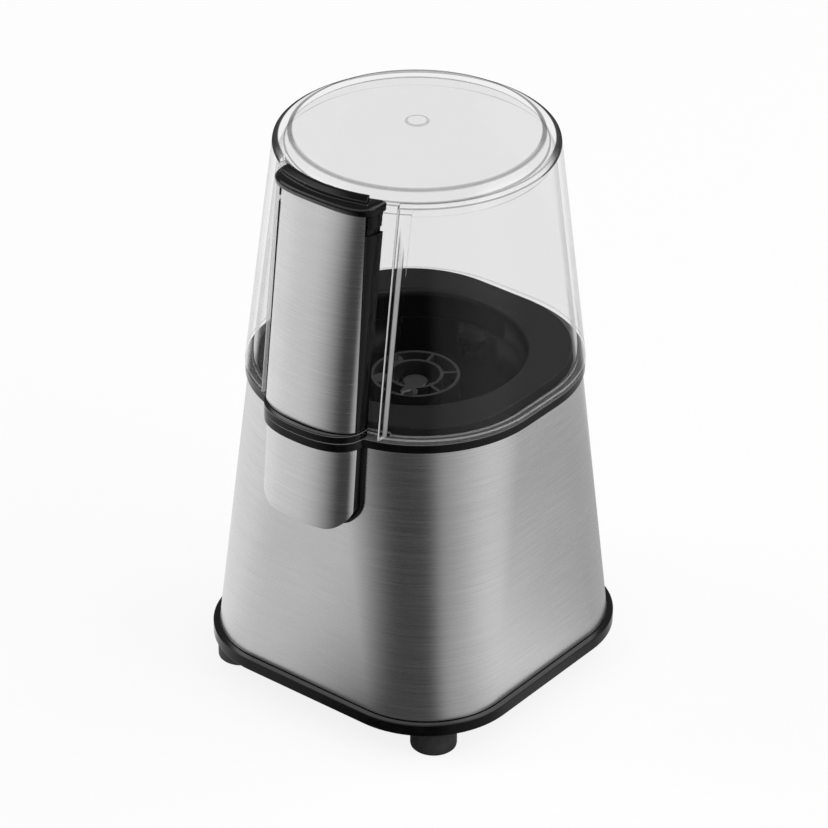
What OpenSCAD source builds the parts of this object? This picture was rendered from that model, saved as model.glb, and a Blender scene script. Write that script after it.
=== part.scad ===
// Electric spice grinder: a tapered brushed-steel housing on four feet, a deck with a
// round well for a removable grinding cup, and a clear lid whose steel-fronted handle
// carries a push button. Pressing the button drives a rod, a sprung plunger, a switch
// lever and the pin of a micro switch. A universal motor turns the coupling in the well.
// All sizes are in millimetres. The origin is on the motor axis at table level,
// -Y is the front (the handle's side), +X is to the right and +Z is up.

/* [Base and feet] */
// Width of the base band across its flats
base_w = 125; // [118:0.5:132]
// Corner radius of the base band
base_corner = 35.6; // [28:0.2:42]
// Height of the base band
base_band_h = 4.6; // [3.6:0.1:7]
// Thickness of the base plate's floor
base_floor_t = 2.4; // [1.8:0.1:3]
// Height of the rim that centres the steel housing
base_rim_h = 6; // [3:0.5:10]
// Width of the base band's ledge outside the steel
base_ledge = 2.4; // [1:0.1:4]
// Height of the feet
foot_h = 10; // [6:0.5:14]
// Radius of the feet
foot_r = 8.4; // [6:0.1:9.5]
// Distance from a foot's axis to the base's flat side
foot_inset = 17.5; // [15:0.5:22]
// Width of one cooling slot in the base plate
vent_w = 3; // [2:0.2:4]
// Length of the longest cooling slot
vent_l = 44; // [20:1:50]

/* [Steel housing] */
// Height of the steel housing
housing_h = 105.5; // [102:0.5:120]
// Thickness of the steel sheet
steel_t = 0.8; // [0.5:0.1:1.2]

/* [Collar ring] */
// Width of the collar ring across its flats
collar_w = 113.4; // [111:0.2:118]
// Corner radius of the collar ring
collar_corner = 47.4; // [45:0.2:50]
// Height of the collar ring
collar_h = 3.5; // [2.5:0.1:5]
// Width of the collar's ledge outside the steel
collar_ledge = 1.2; // [0.6:0.1:2]

/* [Deck and well] */
// Width of the deck across its flats
deck_w = 103; // [100:0.2:105]
// Corner radius of the deck
deck_corner = 41; // [38:0.2:44]
// Rise of the deck above the collar ring
deck_rise = 4.2; // [2:0.1:6]
// Thickness of the deck plate
deck_t = 2.6; // [2:0.1:3.5]
// Radius of the cup well
well_r = 40; // [38:0.1:41]
// Depth of the cup well below the deck
well_depth = 24.8; // [22:0.2:28]
// Wall thickness of the well
well_wall = 2.4; // [2:0.1:3]
// Thickness of the well's floor
well_floor_t = 3; // [2.4:0.1:3.6]
// Edge radius of the well's mouth
lip_r = 1.6; // [0.8:0.1:2.4]
// Number of bayonet lugs that lock the cup
lugs = 3; // [2:1:4]
// Angle that a bayonet lug takes up
lug_angle = 24; // [16:1:30]
// Reach of a bayonet lug into the well
lug_reach = 6; // [4:0.5:7]
// Thickness of a bayonet lug
lug_t = 3; // [2:0.1:4]
// Height of a bayonet lug's top over the well's floor
lug_h = 10.5; // [8:0.5:11]

/* [Lid] */
// Height of the lid from its seat to its shoulder
lid_h = 87.4; // [80:0.5:100]
// Radius of the lid's shoulder
lid_top_r = 50.2; // [47:0.1:52]
// Wall thickness of the lid
lid_wall = 2.5; // [2:0.1:2.8]
// Radius of the groove round the lid's top
groove_r = 43.8; // [38:0.1:46]
// Rise from the shoulder to the groove
shoulder_rise = 4.2; // [3.4:0.1:5]
// Rise from the groove to the crown of the lid
crown_rise = 2.7; // [1:0.1:5]
// Radius of the boss on the crown
crown_boss_r = 3.8; // [2.5:0.1:5]
// Radius of the fillet under the lid's ceiling
ceiling_fillet = 6; // [3:0.5:8]
// Depth of the pocket that the handle sits in
pocket_t = 2; // [1.4:0.1:2.2]

/* [Handle] */
// Half width of the handle
handle_half_w = 20.6; // [18:0.1:21]
// Depth of the bowed front, where the sides turn straight
bow_depth = 9; // [6:0.1:10]
// Roundness of the bowed front, as a superellipse's power
bow_power = 2.7; // [2:0.1:4]
// Depth of the steel panel's side at the foot
panel_side_foot = 5.9; // [4:0.1:6.5]
// Depth of the steel panel's side under the button
panel_side_head = 4; // [3:0.1:4.2]
// Height of the black flange at the handle's foot
flange_h = 3.2; // [2:0.1:5]
// Half width of the flange at the handle's foot
flange_half_w = 21; // [20.8:0.1:21.8]
// Reach of the flange in front of the handle's foot
flange_out = 3; // [2.4:0.1:4]

/* [Push button] */
// Travel of the push button
travel = 2; // [1:0.1:2.4]
// Height of the button's cap above the steel panel
cap_h = 3.6; // [3.5:0.1:5]
// Height of the button's side skirts below the steel panel's top
skirt_h = 6; // [4:0.5:9]
// Reach of the cap in front of the handle's top
cap_out = 2.6; // [2.1:0.1:3.6]
// Height of the finger ridge on the cap
ridge_h = 2.4; // [1.5:0.1:4]
// Thickness of the finger ridge
ridge_t = 3.6; // [2.6:0.1:3.8]
// Half width of the finger ridge
ridge_half_w = 19; // [12:0.5:19.5]

/* [Switch pod] */
// Height of the switch pod below the collar ring
pod_h = 32; // [28:0.5:40]
// How far the pod's top stands out of the housing
pod_top_out = 8.4; // [8:0.1:9.4]
// How far the pod's bottom stands out of the housing
pod_bottom_out = 9.7; // [9.2:0.1:11]
// Radius of the pod's two lower corners
pod_corner = 10; // [4:0.5:14]
// Overhang of the pod's flange on the housing
pod_flange = 1; // [0.8:0.1:3]
// Radius of the plunger's head
plunger_r = 2.6; // [2.2:0.1:2.7]

/* [Micro switch] */
// Length of the micro switch's case
switch_l = 27.8; // [24:0.2:30]
// Height of the micro switch's case
switch_h = 15.9; // [12:0.1:18]
// Thickness of the micro switch's case
switch_t = 9.6; // [6:0.1:10.4]
// Distance from the lever's pivot to the plunger
lever_arm = 11.5; // [9:0.5:13]
// Distance from the lever's pivot to the switch's pin
pin_arm = 4; // [3:0.5:5]

/* [Motor] */
// Radius of the motor shaft
shaft_r = 3; // [2.5:0.1:4]
// Radius of the rotor core
rotor_r = 14.5; // [12:0.1:16]
// Number of rotor slots
rotor_slots = 12; // [8:1:12]
// Width of the stator core
stator_w = 56; // [52:0.5:60]
// Depth of the stator core
stator_d = 48; // [46:0.5:50]
// Radius of the commutator
commutator_r = 8.5; // [7.6:0.1:9]
// Radius of the cooling fan
fan_r = 23; // [16:0.5:26]
// Number of fan blades
fan_blades = 9; // [5:1:12]

/* [Drive coupling] */
// Radius of the coupling's outer ring
coupling_r = 16; // [14:0.1:18]
// Radius of the coupling's inner ring
coupling_hub_r = 10; // [9:0.1:11]
// Height of the coupling's rings below the deck
coupling_sink = 11.6; // [10:0.1:13]
// Number of thin ribs between the coupling's rings
coupling_ribs = 3; // [2:1:3]

/* [Hidden] */

$fn = 64;
// Overlap that lets a cut run clear of the surface it opens
cut = 1;
// Thickness of the slices that a tapered form is stretched between
slice = 0.02;

// Clearances
seat_gap = 0.1;
slide_gap = 0.25;
running_gap = 0.06;
screw_gap = 0.1;

// Heights of the main joints between the pieces
z_band = foot_h + base_band_h;
z_collar = z_band + housing_h;
z_seat = z_collar + collar_h;
z_deck = z_seat + deck_rise;
z_shoulder = z_seat + lid_h;
z_groove = z_shoulder + shoulder_rise;
z_crown = z_groove + crown_rise;
z_well = z_deck - well_depth;

// Housing
housing_w0 = base_w - 2 * base_ledge;
housing_r0 = base_corner - base_ledge;
housing_w1 = collar_w - 2 * collar_ledge;
housing_r1 = collar_corner - collar_ledge;
function along(z, z0, z1, a, b) = a + (b - a) * (z - z0) / (z1 - z0);
function housing_w(z) = along(z, z_band, z_collar, housing_w0, housing_w1);
function housing_r(z) = along(z, z_band, z_collar, housing_r0, housing_r1);

// Cord gland in the back of the housing
gland_r = 6.4;
gland_flange_r = 8.6;
gland_z = z_band + base_rim_h + gland_flange_r + 0.8;
gland_bore_r = 3.6;
gland_proud = 5.6;
gland_y = housing_w(gland_z) / 2;

// Screw posts that tie the deck to the base plate
post_x = deck_w / 2 - 16.2;
post_r = 4;
post_bore_r = 1.7;
post_z0 = foot_h + base_floor_t + 2;
screw_r = post_bore_r - screw_gap;
screw_head_r = 3.3;
screw_l = 22;

// Lid and its pocket
lid_w = collar_w + 0.2;
pocket_half_w = flange_half_w + 4.2;
pocket_flare = 0.8;
pocket_wall = lid_wall - 0.4;
z_pocket = z_shoulder + shoulder_rise * pocket_t / (lid_top_r - groove_r);
shoulder_edge = 0.8;
ceiling_r = lid_top_r - lid_wall - ceiling_fillet;

// Handle, which stands out far enough for the push rod inside it
rod_r = 2;
shelf_sink = 15;
z_flange = z_seat + flange_h;
z_head = z_shoulder - 1.6;
z_skirt = z_head - skirt_h;
z_cap = z_head + cap_h;
frame_t = 1.4;
back_t = 1.2;
skirt_t = 0.8;
skirt_gap = 0.2;
frame_half_w = handle_half_w + 0.3;
skirt_half_w = frame_half_w + 0.1;
cap_half_w = frame_half_w + 1.1;
cap_t = 1.2;
plunger_out = 2.65;
plunger_reach = housing_w(z_collar - shelf_sink) / 2 + plunger_out;
handle_foot_reach = plunger_reach + rod_r + 3.6;
handle_head_reach = lid_top_r + 4.5;
flange_reach = handle_foot_reach + flange_out;
cap_reach = handle_head_reach + cap_out;
lid_lean = atan((lid_w / 2 - lid_top_r) / lid_h);
function handle_front(z) = -along(z, z_flange, z_head, handle_foot_reach, handle_head_reach);
function panel_edge(z) =
    handle_front(z) + along(z, z_flange, z_head, panel_side_foot, panel_side_head);

// Lower edge of the cap, just below the steel panel's top
z_lip = z_head - 0.2;

// Push rod: a round foot that carries the spring, and a leaning bar up to the cap
rod_bar_w = 9;
rod_bar_t = 2.2;
rod_foot_z = z_seat + 0.25;
rod_knee_z = z_flange + 12;
rod_collar_r = 3;
rod_collar_t = 1.5;
rod_collar_z = z_flange + 8.5;
rod_head_z = z_cap - cap_t;
rod_head_y = -(handle_head_reach - 2.9);
spring_wire = 0.35;
spring_r = rod_r + spring_wire + 0.2;

// Switch pod and plunger
z_pod = z_collar - pod_h;
z_shelf = z_collar - shelf_sink;
shelf_t = 2;
plunger_stem_r = 1.5;
plunger_head_h = 6.5;
plunger_top = z_seat - seat_gap;
plunger_arm_h = 3;
z_arm = z_shelf - shelf_t - travel - 4.5;
window_half_w = 9;
window_z0 = z_arm - travel - 2.5;
window_z1 = z_shelf - shelf_t - 0.2;
pod_reach = housing_w(z_pod) / 2 + pod_bottom_out;
function pod_front(z) =
    -housing_w(z) / 2 - along(z, z_pod, z_collar, pod_bottom_out, pod_top_out);
function pod_edge(z) = pod_front(z) + panel_side_foot + 0.3;

// Micro switch, behind the pod's window, on a plate that hangs from the well
switch_y = -(well_r + well_wall + 1.6);
lever_t = 0.4;
lever_w = 4;
lever_tail = 3.5;
lever_nub = 1.2;
lever_x = -lever_arm;
lever_y = switch_y - switch_t / 2;
lever_pin_r = 0.5;
pressed_angle = 1;
rest_angle = asin(travel / lever_arm) + pressed_angle;
lever_pivot_z =
    z_arm - lever_nub - slide_gap - lever_t / 2 - lever_arm * sin(rest_angle);
z_switch = lever_pivot_z - lever_t / 2 - 0.35;
pin_r = 1.1;
pin_top =
    lever_pivot_z + (pin_arm - pin_r) * tan(rest_angle) - lever_t / 2 / cos(rest_angle) - seat_gap;
peg_r = 1.5;
peg_x = 11.1;
peg_z = 5.15;

// Motor
shaft_z0 = foot_h + 8;
shaft_z1 = z_well + 9;
stack_z0 = foot_h + 42;
stack_z1 = z_well - 25;
stack_h = stack_z1 - stack_z0;
air_gap = 0.6;
coil_t = 6;
bolt_x = stator_w / 2 - 5;
bolt_r = 2;
bush_r = 7;
bush_h = 7;
bracket_t = 3;
upper_bracket_z = stack_z1 + 10;
lower_bracket_z = stack_z0 - 22;
commutator_z = stack_z0 - 16;
commutator_h = 8;
brush = 5;
brush_l = 7.5;
mount_x = 24;
mount_y = 19;
mount_post_r = 4;
damper_r = 5;
damper_h = 4;
motor_screw_l = 14;
motor_screw_z = upper_bracket_z - 1.7;

// Drive coupling
z_coupling = z_deck - coupling_sink;
coupling_wall = 1.2;
coupling_floor_z = z_well + 4;
coupling_floor_t = 2;
rib_angle = -17;
rib_pitch = 60;
dog_angle = 166;
dog_pitch = 66;
dog_w = 5;
seal_r = 8;
seal_boss_h = 5;

// Step on which the deck holds the collar ring down
ledge_w = 1.2;
ledge_h = 1.2;
deck_wall = 3.4;

// The well's wall below the face that centres the cup
well_step = 1.2;
pad_rise = 2.5;

// Screws that hold the handle to the lid
handle_screw_x = 12;
handle_screw_l = 7.5;
handle_boss_r = 3.2;
handle_boss_l = 5;
handle_spot = 0.4;

// A square with round corners, centred
module rounded_square(w, r) {
    core = w - 2 * r;
    square([w, core], center = true);
    square([core, w], center = true);
    for (x = [-1, 1], y = [-1, 1])
        translate([x * core / 2, y * core / 2])
            circle(r);
}

module slab(z, h) {
    translate([0, 0, z])
        linear_extrude(h)
            children();
}

// The solid inside the steel housing's outer face, moved inwards by inset
module housing_solid(inset, z0, z1) {
    hull() {
        slab(z0, slice) rounded_square(housing_w(z0) - 2 * inset, housing_r(z0) - inset);
        slab(z1 - slice, slice)
            rounded_square(housing_w(z1) - 2 * inset, housing_r(z1) - inset);
    }
}

// The solid inside the lid's outer face, from its seat to its shoulder
module lid_solid(inset) {
    hull() {
        slab(z_seat, slice) rounded_square(lid_w - 2 * inset, collar_corner - inset);
        slab(z_shoulder - slice, slice) circle(lid_top_r - inset);
    }
}

// The points of a bowed front, from its right side round to its left side
function bow(half_w, depth, power, front_y) = [
    for (a = [0 : 7.5 : 180])
        [
            half_w * sign(cos(a)) * pow(abs(cos(a)), 2 / power),
            front_y + depth - depth * pow(sin(a), 2 / power)
        ]
];

module bowed_outline(half_w, depth, power, front_y, rear_y) {
    polygon(concat(
        bow(half_w, depth, power, front_y),
        [[-half_w, rear_y], [half_w, rear_y]]
    ));
}

// The handle's leaning body, moved inwards by inset
module handle_solid(inset, half_w, z0, z1) {
    hull() {
        for (z = [z0, z1 - slice])
            slab(z, slice)
                bowed_outline(half_w - inset, bow_depth - inset, bow_power,
                    handle_front(z) + inset, -lid_top_r + 8);
    }
}

// The flange outline that the handle's foot and the collar ring share
module flange_outline() {
    bowed_outline(flange_half_w, 13.4, 2.4, -flange_reach, -deck_w / 2 - 1);
}

// A shape seen from the side, in Y and Z, as wide as the handle and more
module side_profile(points) {
    translate([-flange_half_w - 8, 0, 0])
        rotate([90, 0, 90])
            linear_extrude(2 * flange_half_w + 16)
                polygon(points);
}

// A shape seen from the front, in X and Z, from y0 to y1
module front_profile(y0, y1) {
    translate([0, y1, 0])
        rotate([90, 0, 0])
            linear_extrude(y1 - y0)
                children();
}

// A round bar along Y
module bar_y(y0, y1, r) {
    translate([0, y0, 0])
        rotate([-90, 0, 0])
            cylinder(h = y1 - y0, r = r);
}

module ring(r_out, r_in, z, h) {
    translate([0, 0, z])
        difference() {
            cylinder(h = h, r = r_out);
            translate([0, 0, -cut]) cylinder(h = h + 2 * cut, r = r_in);
        }
}

// A wound spring of round wire between two heights
module coil_spring(coil_r, wire_r, z0, z1, turns) {
    sides = 6;
    steps = 14 * turns;
    rise = (z1 - z0 - 2 * wire_r) / steps;
    points = [
        for (i = [0 : steps], k = [0 : sides - 1])
            let (a = i * 360 * turns / steps, b = k * 360 / sides, r = coil_r + wire_r * cos(b))
                [r * cos(a), r * sin(a), z0 + wire_r + i * rise + wire_r * sin(b)]
    ];
    walls = [
        for (i = [0 : steps - 1], k = [0 : sides - 1])
            let (n = (k + 1) % sides)
                [i * sides + k, i * sides + n, (i + 1) * sides + n, (i + 1) * sides + k]
    ];
    first_cap = [for (k = [sides - 1 : -1 : 0]) k];
    last_cap = [for (k = [0 : sides - 1]) steps * sides + k];
    polyhedron(points, concat([first_cap], walls, [last_cap]));
}

module at_posts() {
    for (x = [-post_x, post_x], y = [-post_x, post_x])
        translate([x, y, 0])
            children();
}

module at_feet() {
    reach = base_w / 2 - foot_inset;
    for (x = [-reach, reach], y = [-reach, reach])
        translate([x, y, 0])
            children();
}

module at_motor_mounts() {
    for (x = [-mount_x, mount_x], y = [-mount_y, mount_y])
        translate([x, y, 0])
            children();
}

// ---- Base ----

foot_peg_r = 3;
foot_edge = 0.8;

module feet() {
    color("dimgray")
        at_feet()
            rotate_extrude()
                polygon([
                    [0, 0],
                    [foot_r - foot_edge, 0],
                    [foot_r, foot_edge],
                    [foot_r, foot_h],
                    [foot_peg_r, foot_h],
                    [foot_peg_r, foot_h + base_floor_t + 1],
                    [0, foot_h + base_floor_t + 1]
                ]);
}

module base_vents() {
    pitch = 3 * vent_w;
    for (i = [-3 : 3])
        translate([i * pitch, 0, foot_h + base_floor_t / 2])
            cube([vent_w, vent_l - 3 * abs(i) * vent_w / 2, base_floor_t + 2 * cut], center = true);
}

module base_plate() {
    rim_w = housing_w(z_band + base_rim_h) - 2 * steel_t - 2 * slide_gap;
    rim_corner = housing_r(z_band + base_rim_h) - steel_t - slide_gap;
    rim_t = 2;
    boss_r = 5.6;
    boss_h = post_z0 - foot_h - base_floor_t - seat_gap;
    color("#1c1c1e")
        difference() {
            union() {
                slab(foot_h, base_band_h) rounded_square(base_w, base_corner);
                slab(z_band, base_rim_h) rounded_square(rim_w, rim_corner);
            }
            difference() {
                slab(foot_h + base_floor_t, base_band_h + base_rim_h)
                    rounded_square(rim_w - 2 * rim_t, rim_corner - rim_t);
                at_posts()
                    translate([0, 0, foot_h])
                        cylinder(h = base_floor_t + boss_h, r = boss_r);
            }
            at_posts() {
                translate([0, 0, foot_h - cut])
                    cylinder(h = base_floor_t + boss_h + 2 * cut, r = screw_r + 2 * screw_gap);
                translate([0, 0, foot_h - cut])
                    cylinder(h = 2 + cut, r = screw_head_r + 2 * screw_gap);
            }
            at_feet()
                translate([0, 0, foot_h - cut])
                    cylinder(h = base_floor_t + 2 * cut, r = foot_peg_r + screw_gap);
            base_vents();
        }
}

module base_screws() {
    head_h = 1.8;
    z0 = foot_h + 2 - head_h;
    color("silver")
        at_posts()
            difference() {
                union() {
                    translate([0, 0, z0]) cylinder(h = head_h, r = screw_head_r);
                    translate([0, 0, z0 + head_h - 0.2]) cylinder(h = screw_l, r = screw_r);
                }
                for (turn = [0, 90])
                    rotate(turn)
                        translate([0, 0, z0])
                            cube([4, 0.8, 1.6], center = true);
            }
}

// ---- Housing, gland and collar ----

module steel_housing() {
    color("#b9babc")
        difference() {
            housing_solid(0, z_band + seat_gap, z_collar);
            housing_solid(steel_t, z_band - cut, z_collar + cut);
            translate([0, gland_y - 4, gland_z]) bar_y(0, 8, gland_r + screw_gap);
            translate([-window_half_w, -housing_w(window_z0) / 2 - cut, window_z0])
                cube([2 * window_half_w, 8, window_z1 - window_z0]);
        }
}

module cord_gland() {
    inner = gland_y - steel_t - 0.7;
    outer = gland_y + 0.5;
    flange_t = 2;
    color("#202022")
        translate([0, 0, gland_z])
            rotate([-90, 0, 0])
                rotate_extrude()
                    polygon([
                        [gland_bore_r, inner - flange_t],
                        [gland_flange_r, inner - flange_t],
                        [gland_flange_r, inner],
                        [gland_r, inner],
                        [gland_r, outer],
                        [gland_flange_r, outer],
                        [gland_flange_r, outer + flange_t],
                        [gland_r, gland_y + gland_proud],
                        [gland_bore_r, gland_y + gland_proud]
                    ]);
}

module collar_ring() {
    lip_h = 5;
    lip_t = 1.2;
    lip_w = housing_w1 - 2 * steel_t - 2 * slide_gap;
    lip_corner = housing_r1 - steel_t - slide_gap;
    color("#161618")
        difference() {
            union() {
                slab(z_collar, collar_h) rounded_square(collar_w, collar_corner);
                slab(z_collar, collar_h) flange_outline();
                difference() {
                    slab(z_collar - lip_h, lip_h + 0.5) rounded_square(lip_w, lip_corner);
                    slab(z_collar - lip_h - cut, lip_h + 2 * cut)
                        rounded_square(lip_w - 2 * lip_t, lip_corner - lip_t);
                }
            }
            slab(z_collar - cut, collar_h + 2 * cut)
                rounded_square(deck_w + 2 * (seat_gap - ledge_w), deck_corner + seat_gap - ledge_w);
            slab(z_collar + ledge_h, collar_h)
                rounded_square(deck_w + 2 * seat_gap, deck_corner + seat_gap);
            translate([0, -plunger_reach, z_collar - cut])
                cylinder(h = collar_h + 2 * cut, r = plunger_r + running_gap);
        }
}

// ---- Deck and well ----

// A sector of a ring round the well's axis
module well_sector(r_in, r_out, z, h, angle) {
    translate([0, 0, z])
        rotate([0, 0, -angle / 2])
            rotate_extrude(angle = angle)
                translate([r_in, 0])
                    square([r_out - r_in, h]);
}

// One bayonet lug: a ledge that the cup turns under, on a pad with a stop
module bayonet_lug() {
    pad_t = well_step + 1;
    pad_top = lug_h + pad_rise + 0.5;
    slot_h = 4.4;
    slot_z = lug_h - lug_t - slot_h - 0.6;
    difference() {
        well_sector(well_r - pad_t, well_r + 1, z_well - 0.5, pad_top, lug_angle);
        rotate(lug_angle / 6)
            well_sector(well_r - pad_t - cut, well_r - well_step - 0.2, z_well + slot_z, slot_h,
                lug_angle / 2);
    }
    rotate(lug_angle / 8)
        well_sector(well_r - lug_reach, well_r + 1, z_well + lug_h - lug_t, lug_t,
            2 * lug_angle / 3);
    rotate(3 * lug_angle / 8)
        well_sector(well_r - lug_reach / 2, well_r + 1, z_well - 0.5, lug_h, lug_angle / 8);
}

// The plate under the well that carries the micro switch on two pegs, with its gussets
module switch_plate() {
    plate_t = 2;
    plate_x = switch_l / 2 + 1;
    gusset_x = plate_x - 5;
    z0 = z_switch - switch_h;
    z1 = z_well - well_floor_t + 1;
    translate([-plate_x, switch_y, z0])
        cube([2 * plate_x, plate_t, z1 - z0]);
    for (side = [-1, 1]) {
        translate([side * gusset_x - 1, 0, 0])
            rotate([90, 0, 90])
                linear_extrude(plate_t)
                    polygon([
                        [switch_y + 1, z1],
                        [switch_y + 1, z1 - 12],
                        [switch_y + 14, z1]
                    ]);
        translate([side * peg_x, switch_y - 0.8 * switch_t, z_switch - switch_h / 2 + side * peg_z])
            bar_y(0, 0.8 * switch_t + 1, peg_r);
    }
}

module well_deck() {
    skirt_bottom = z_collar - 5;
    z_ledge = z_collar + ledge_h + seat_gap;
    inner_w = deck_w - 2 * deck_wall;
    inner_corner = deck_corner - deck_wall;
    mount_z = upper_bracket_z + bracket_t + damper_h - 1;
    color("#19191b")
        difference() {
            union() {
                slab(z_deck - deck_t, deck_t) rounded_square(deck_w, deck_corner);
                difference() {
                    union() {
                        slab(z_ledge, z_deck - z_ledge) rounded_square(deck_w, deck_corner);
                        slab(skirt_bottom, z_deck - skirt_bottom)
                            rounded_square(deck_w - 2 * ledge_w, deck_corner - ledge_w);
                    }
                    slab(skirt_bottom - cut, z_deck - skirt_bottom)
                        rounded_square(inner_w, inner_corner);
                }
                translate([0, 0, z_well - well_floor_t])
                    cylinder(h = well_depth + well_floor_t, r = well_r + well_wall);
                translate([0, 0, z_well - well_floor_t - seal_boss_h])
                    cylinder(h = seal_boss_h + 1, r = seal_r + 2.4);
                at_posts()
                    translate([0, 0, post_z0])
                        cylinder(h = z_deck - 1 - post_z0, r = post_r);
                at_motor_mounts()
                    translate([0, 0, mount_z])
                        cylinder(h = z_well - 1 - mount_z, r = mount_post_r);
                switch_plate();
            }
            difference() {
                union() {
                    translate([0, 0, z_well])
                        cylinder(h = well_depth, r = well_r - well_step);
                    translate([0, 0, z_well + lug_h + pad_rise + 0.5])
                        cylinder(h = well_depth, r = well_r);
                }
                for (i = [0 : lugs - 1])
                    rotate(92 + i * 360 / lugs)
                        bayonet_lug();
            }
            rotate_extrude()
                difference() {
                    translate([0, z_deck - lip_r]) square([well_r + lip_r, lip_r + cut]);
                    translate([well_r + lip_r, z_deck - lip_r]) circle(lip_r);
                }
            translate([0, 0, z_well - well_floor_t - seal_boss_h - cut])
                cylinder(h = well_floor_t + seal_boss_h + 2 * cut, r = shaft_r + 1);
            translate([0, 0, z_well - 4])
                cylinder(h = 5, r = seal_r + screw_gap);
            at_posts()
                translate([0, 0, post_z0 - cut])
                    cylinder(h = screw_l + 4, r = post_bore_r);
            at_motor_mounts()
                translate([0, 0, upper_bracket_z])
                    cylinder(h = motor_screw_z + motor_screw_l - upper_bracket_z, r = post_bore_r);
        }
}

// ---- Switch pod on the front of the housing ----

// The pod's outline seen from the front, open towards the collar
module pod_outline(grow) {
    half_w = handle_half_w + grow;
    corner = pod_corner + grow;
    translate([-half_w, z_pod - grow + corner])
        square([2 * half_w, pod_h + grow - corner]);
    translate([-half_w + corner, z_pod - grow])
        square([2 * (half_w - corner), corner + 1]);
    for (side = [-1, 1])
        translate([side * (half_w - corner), z_pod - grow + corner])
            circle(corner);
}

// The pod's leaning body, moved inwards by inset
module pod_solid(inset) {
    intersection() {
        hull() {
            for (z = [z_pod - cut, z_collar])
                slab(z, slice)
                    bowed_outline(handle_half_w - inset, bow_depth - inset, bow_power,
                        pod_front(z) + inset, -housing_w1 / 2 + 6);
        }
        front_profile(-pod_reach - cut, -40) pod_outline(-inset);
    }
}

// Everything in front of the steel panel's side edge
module pod_panel_side(shift) {
    side_profile([
        [-80, z_pod - 3],
        [pod_edge(z_pod - 3) + shift, z_pod - 3],
        [pod_edge(z_collar + 3) + shift, z_collar + 3],
        [-80, z_collar + 3]
    ]);
}

module pod_frame() {
    wall = 1.5;
    flange_t = 1.4;
    color("#141416")
        difference() {
            union() {
                difference() {
                    intersection() {
                        pod_solid(steel_t + seat_gap);
                        pod_panel_side(0);
                    }
                    pod_solid(steel_t + wall);
                }
                difference() {
                    pod_solid(0);
                    pod_panel_side(seat_gap);
                    pod_solid(steel_t + wall);
                }
                intersection() {
                    housing_solid(-flange_t, z_pod - 4, z_collar);
                    difference() {
                        front_profile(-pod_reach, -40) pod_outline(pod_flange);
                        front_profile(-pod_reach - cut, -39) pod_outline(-4);
                    }
                }
                intersection() {
                    pod_solid(steel_t + seat_gap);
                    slab(z_shelf - shelf_t, shelf_t) square(200, center = true);
                }
                pod_window_sleeve();
                pod_hooks();
            }
            difference() {
                housing_solid(-0.05, z_pod - 6, z_collar + cut);
                translate([-window_half_w, -60, window_z0]) {
                    translate([slide_gap, 0, slide_gap])
                        cube([2 * (window_half_w - slide_gap), 20,
                            window_z1 - window_z0 - 2 * slide_gap]);
                }
                pod_hooks();
            }
            translate([0, -plunger_reach, z_shelf - shelf_t - cut])
                cylinder(h = shelf_t + 2 * cut, r = plunger_stem_r + running_gap);
            pod_window_way();
            slab(z_collar - seat_gap, 10) square(200, center = true);
        }
}

sleeve_wall = 1.4;
sleeve_in = 2.6;
hook_reach = 0.9;

// The pod's sleeve, which passes through the housing's window
module pod_window_sleeve() {
    y_in = -housing_w(window_z1) / 2 + steel_t + sleeve_in;
    y_out = -plunger_reach - plunger_stem_r;
    half_w = window_half_w - slide_gap;
    z0 = window_z0 + slide_gap;
    translate([-half_w, y_out, z0])
        cube([2 * half_w, y_in - y_out, window_z1 - slide_gap - z0]);
    translate([-half_w, y_out, z0])
        cube([2 * half_w, 2 * plunger_stem_r, z_shelf - shelf_t / 2 - z0]);
}

// The hooks that clip behind the steel, beside the window
module pod_hooks() {
    hook_t = 1.2;
    for (side = [-1, 1])
        translate([
            side * (window_half_w - slide_gap - sleeve_wall / 2),
            -housing_w(window_z0) / 2 + steel_t + hook_t / 2 + 0.4,
            (window_z0 + window_z1) / 2
        ])
            cube([sleeve_wall + 2 * hook_reach, hook_t, 4], center = true);
}

// The clear way for the plunger's arm through the sleeve
module pod_window_way() {
    inner = slide_gap + sleeve_wall;
    translate([-window_half_w + inner, -plunger_reach - plunger_r, window_z0 + inner])
        cube([2 * (window_half_w - inner), 20, window_z1 - window_z0 - inner + 0.1]);
}

module pod_panel() {
    color("#c3c4c6")
        intersection() {
            difference() {
                pod_solid(0);
                pod_solid(steel_t);
            }
            pod_panel_side(0);
            slab(z_pod - 5, pod_h + 5 - seat_gap) square(200, center = true);
        }
}

// ---- Plunger, lever and micro switch ----

module switch_plunger() {
    arm_w = 5;
    arm_y1 = lever_y + arm_w / 2;
    color("#e8e6df") {
        translate([0, -plunger_reach, plunger_top - plunger_head_h])
            cylinder(h = plunger_head_h, r = plunger_r);
        translate([0, -plunger_reach, z_arm])
            cylinder(h = plunger_top - 1 - z_arm, r = plunger_stem_r);
        translate([-arm_w / 2, -plunger_reach - plunger_stem_r, z_arm])
            cube([arm_w, arm_y1 + plunger_reach + plunger_stem_r, plunger_arm_h]);
        translate([0, 0, z_arm])
            bar_y(arm_y1 - arm_w, arm_y1, lever_nub);
    }
}

module plunger_spring() {
    color("silver")
        translate([0, -plunger_reach, 0])
            coil_spring(
                plunger_stem_r + spring_wire + 0.3, spring_wire,
                z_shelf + seat_gap, plunger_top - plunger_head_h - seat_gap, 5
            );
}

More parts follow.
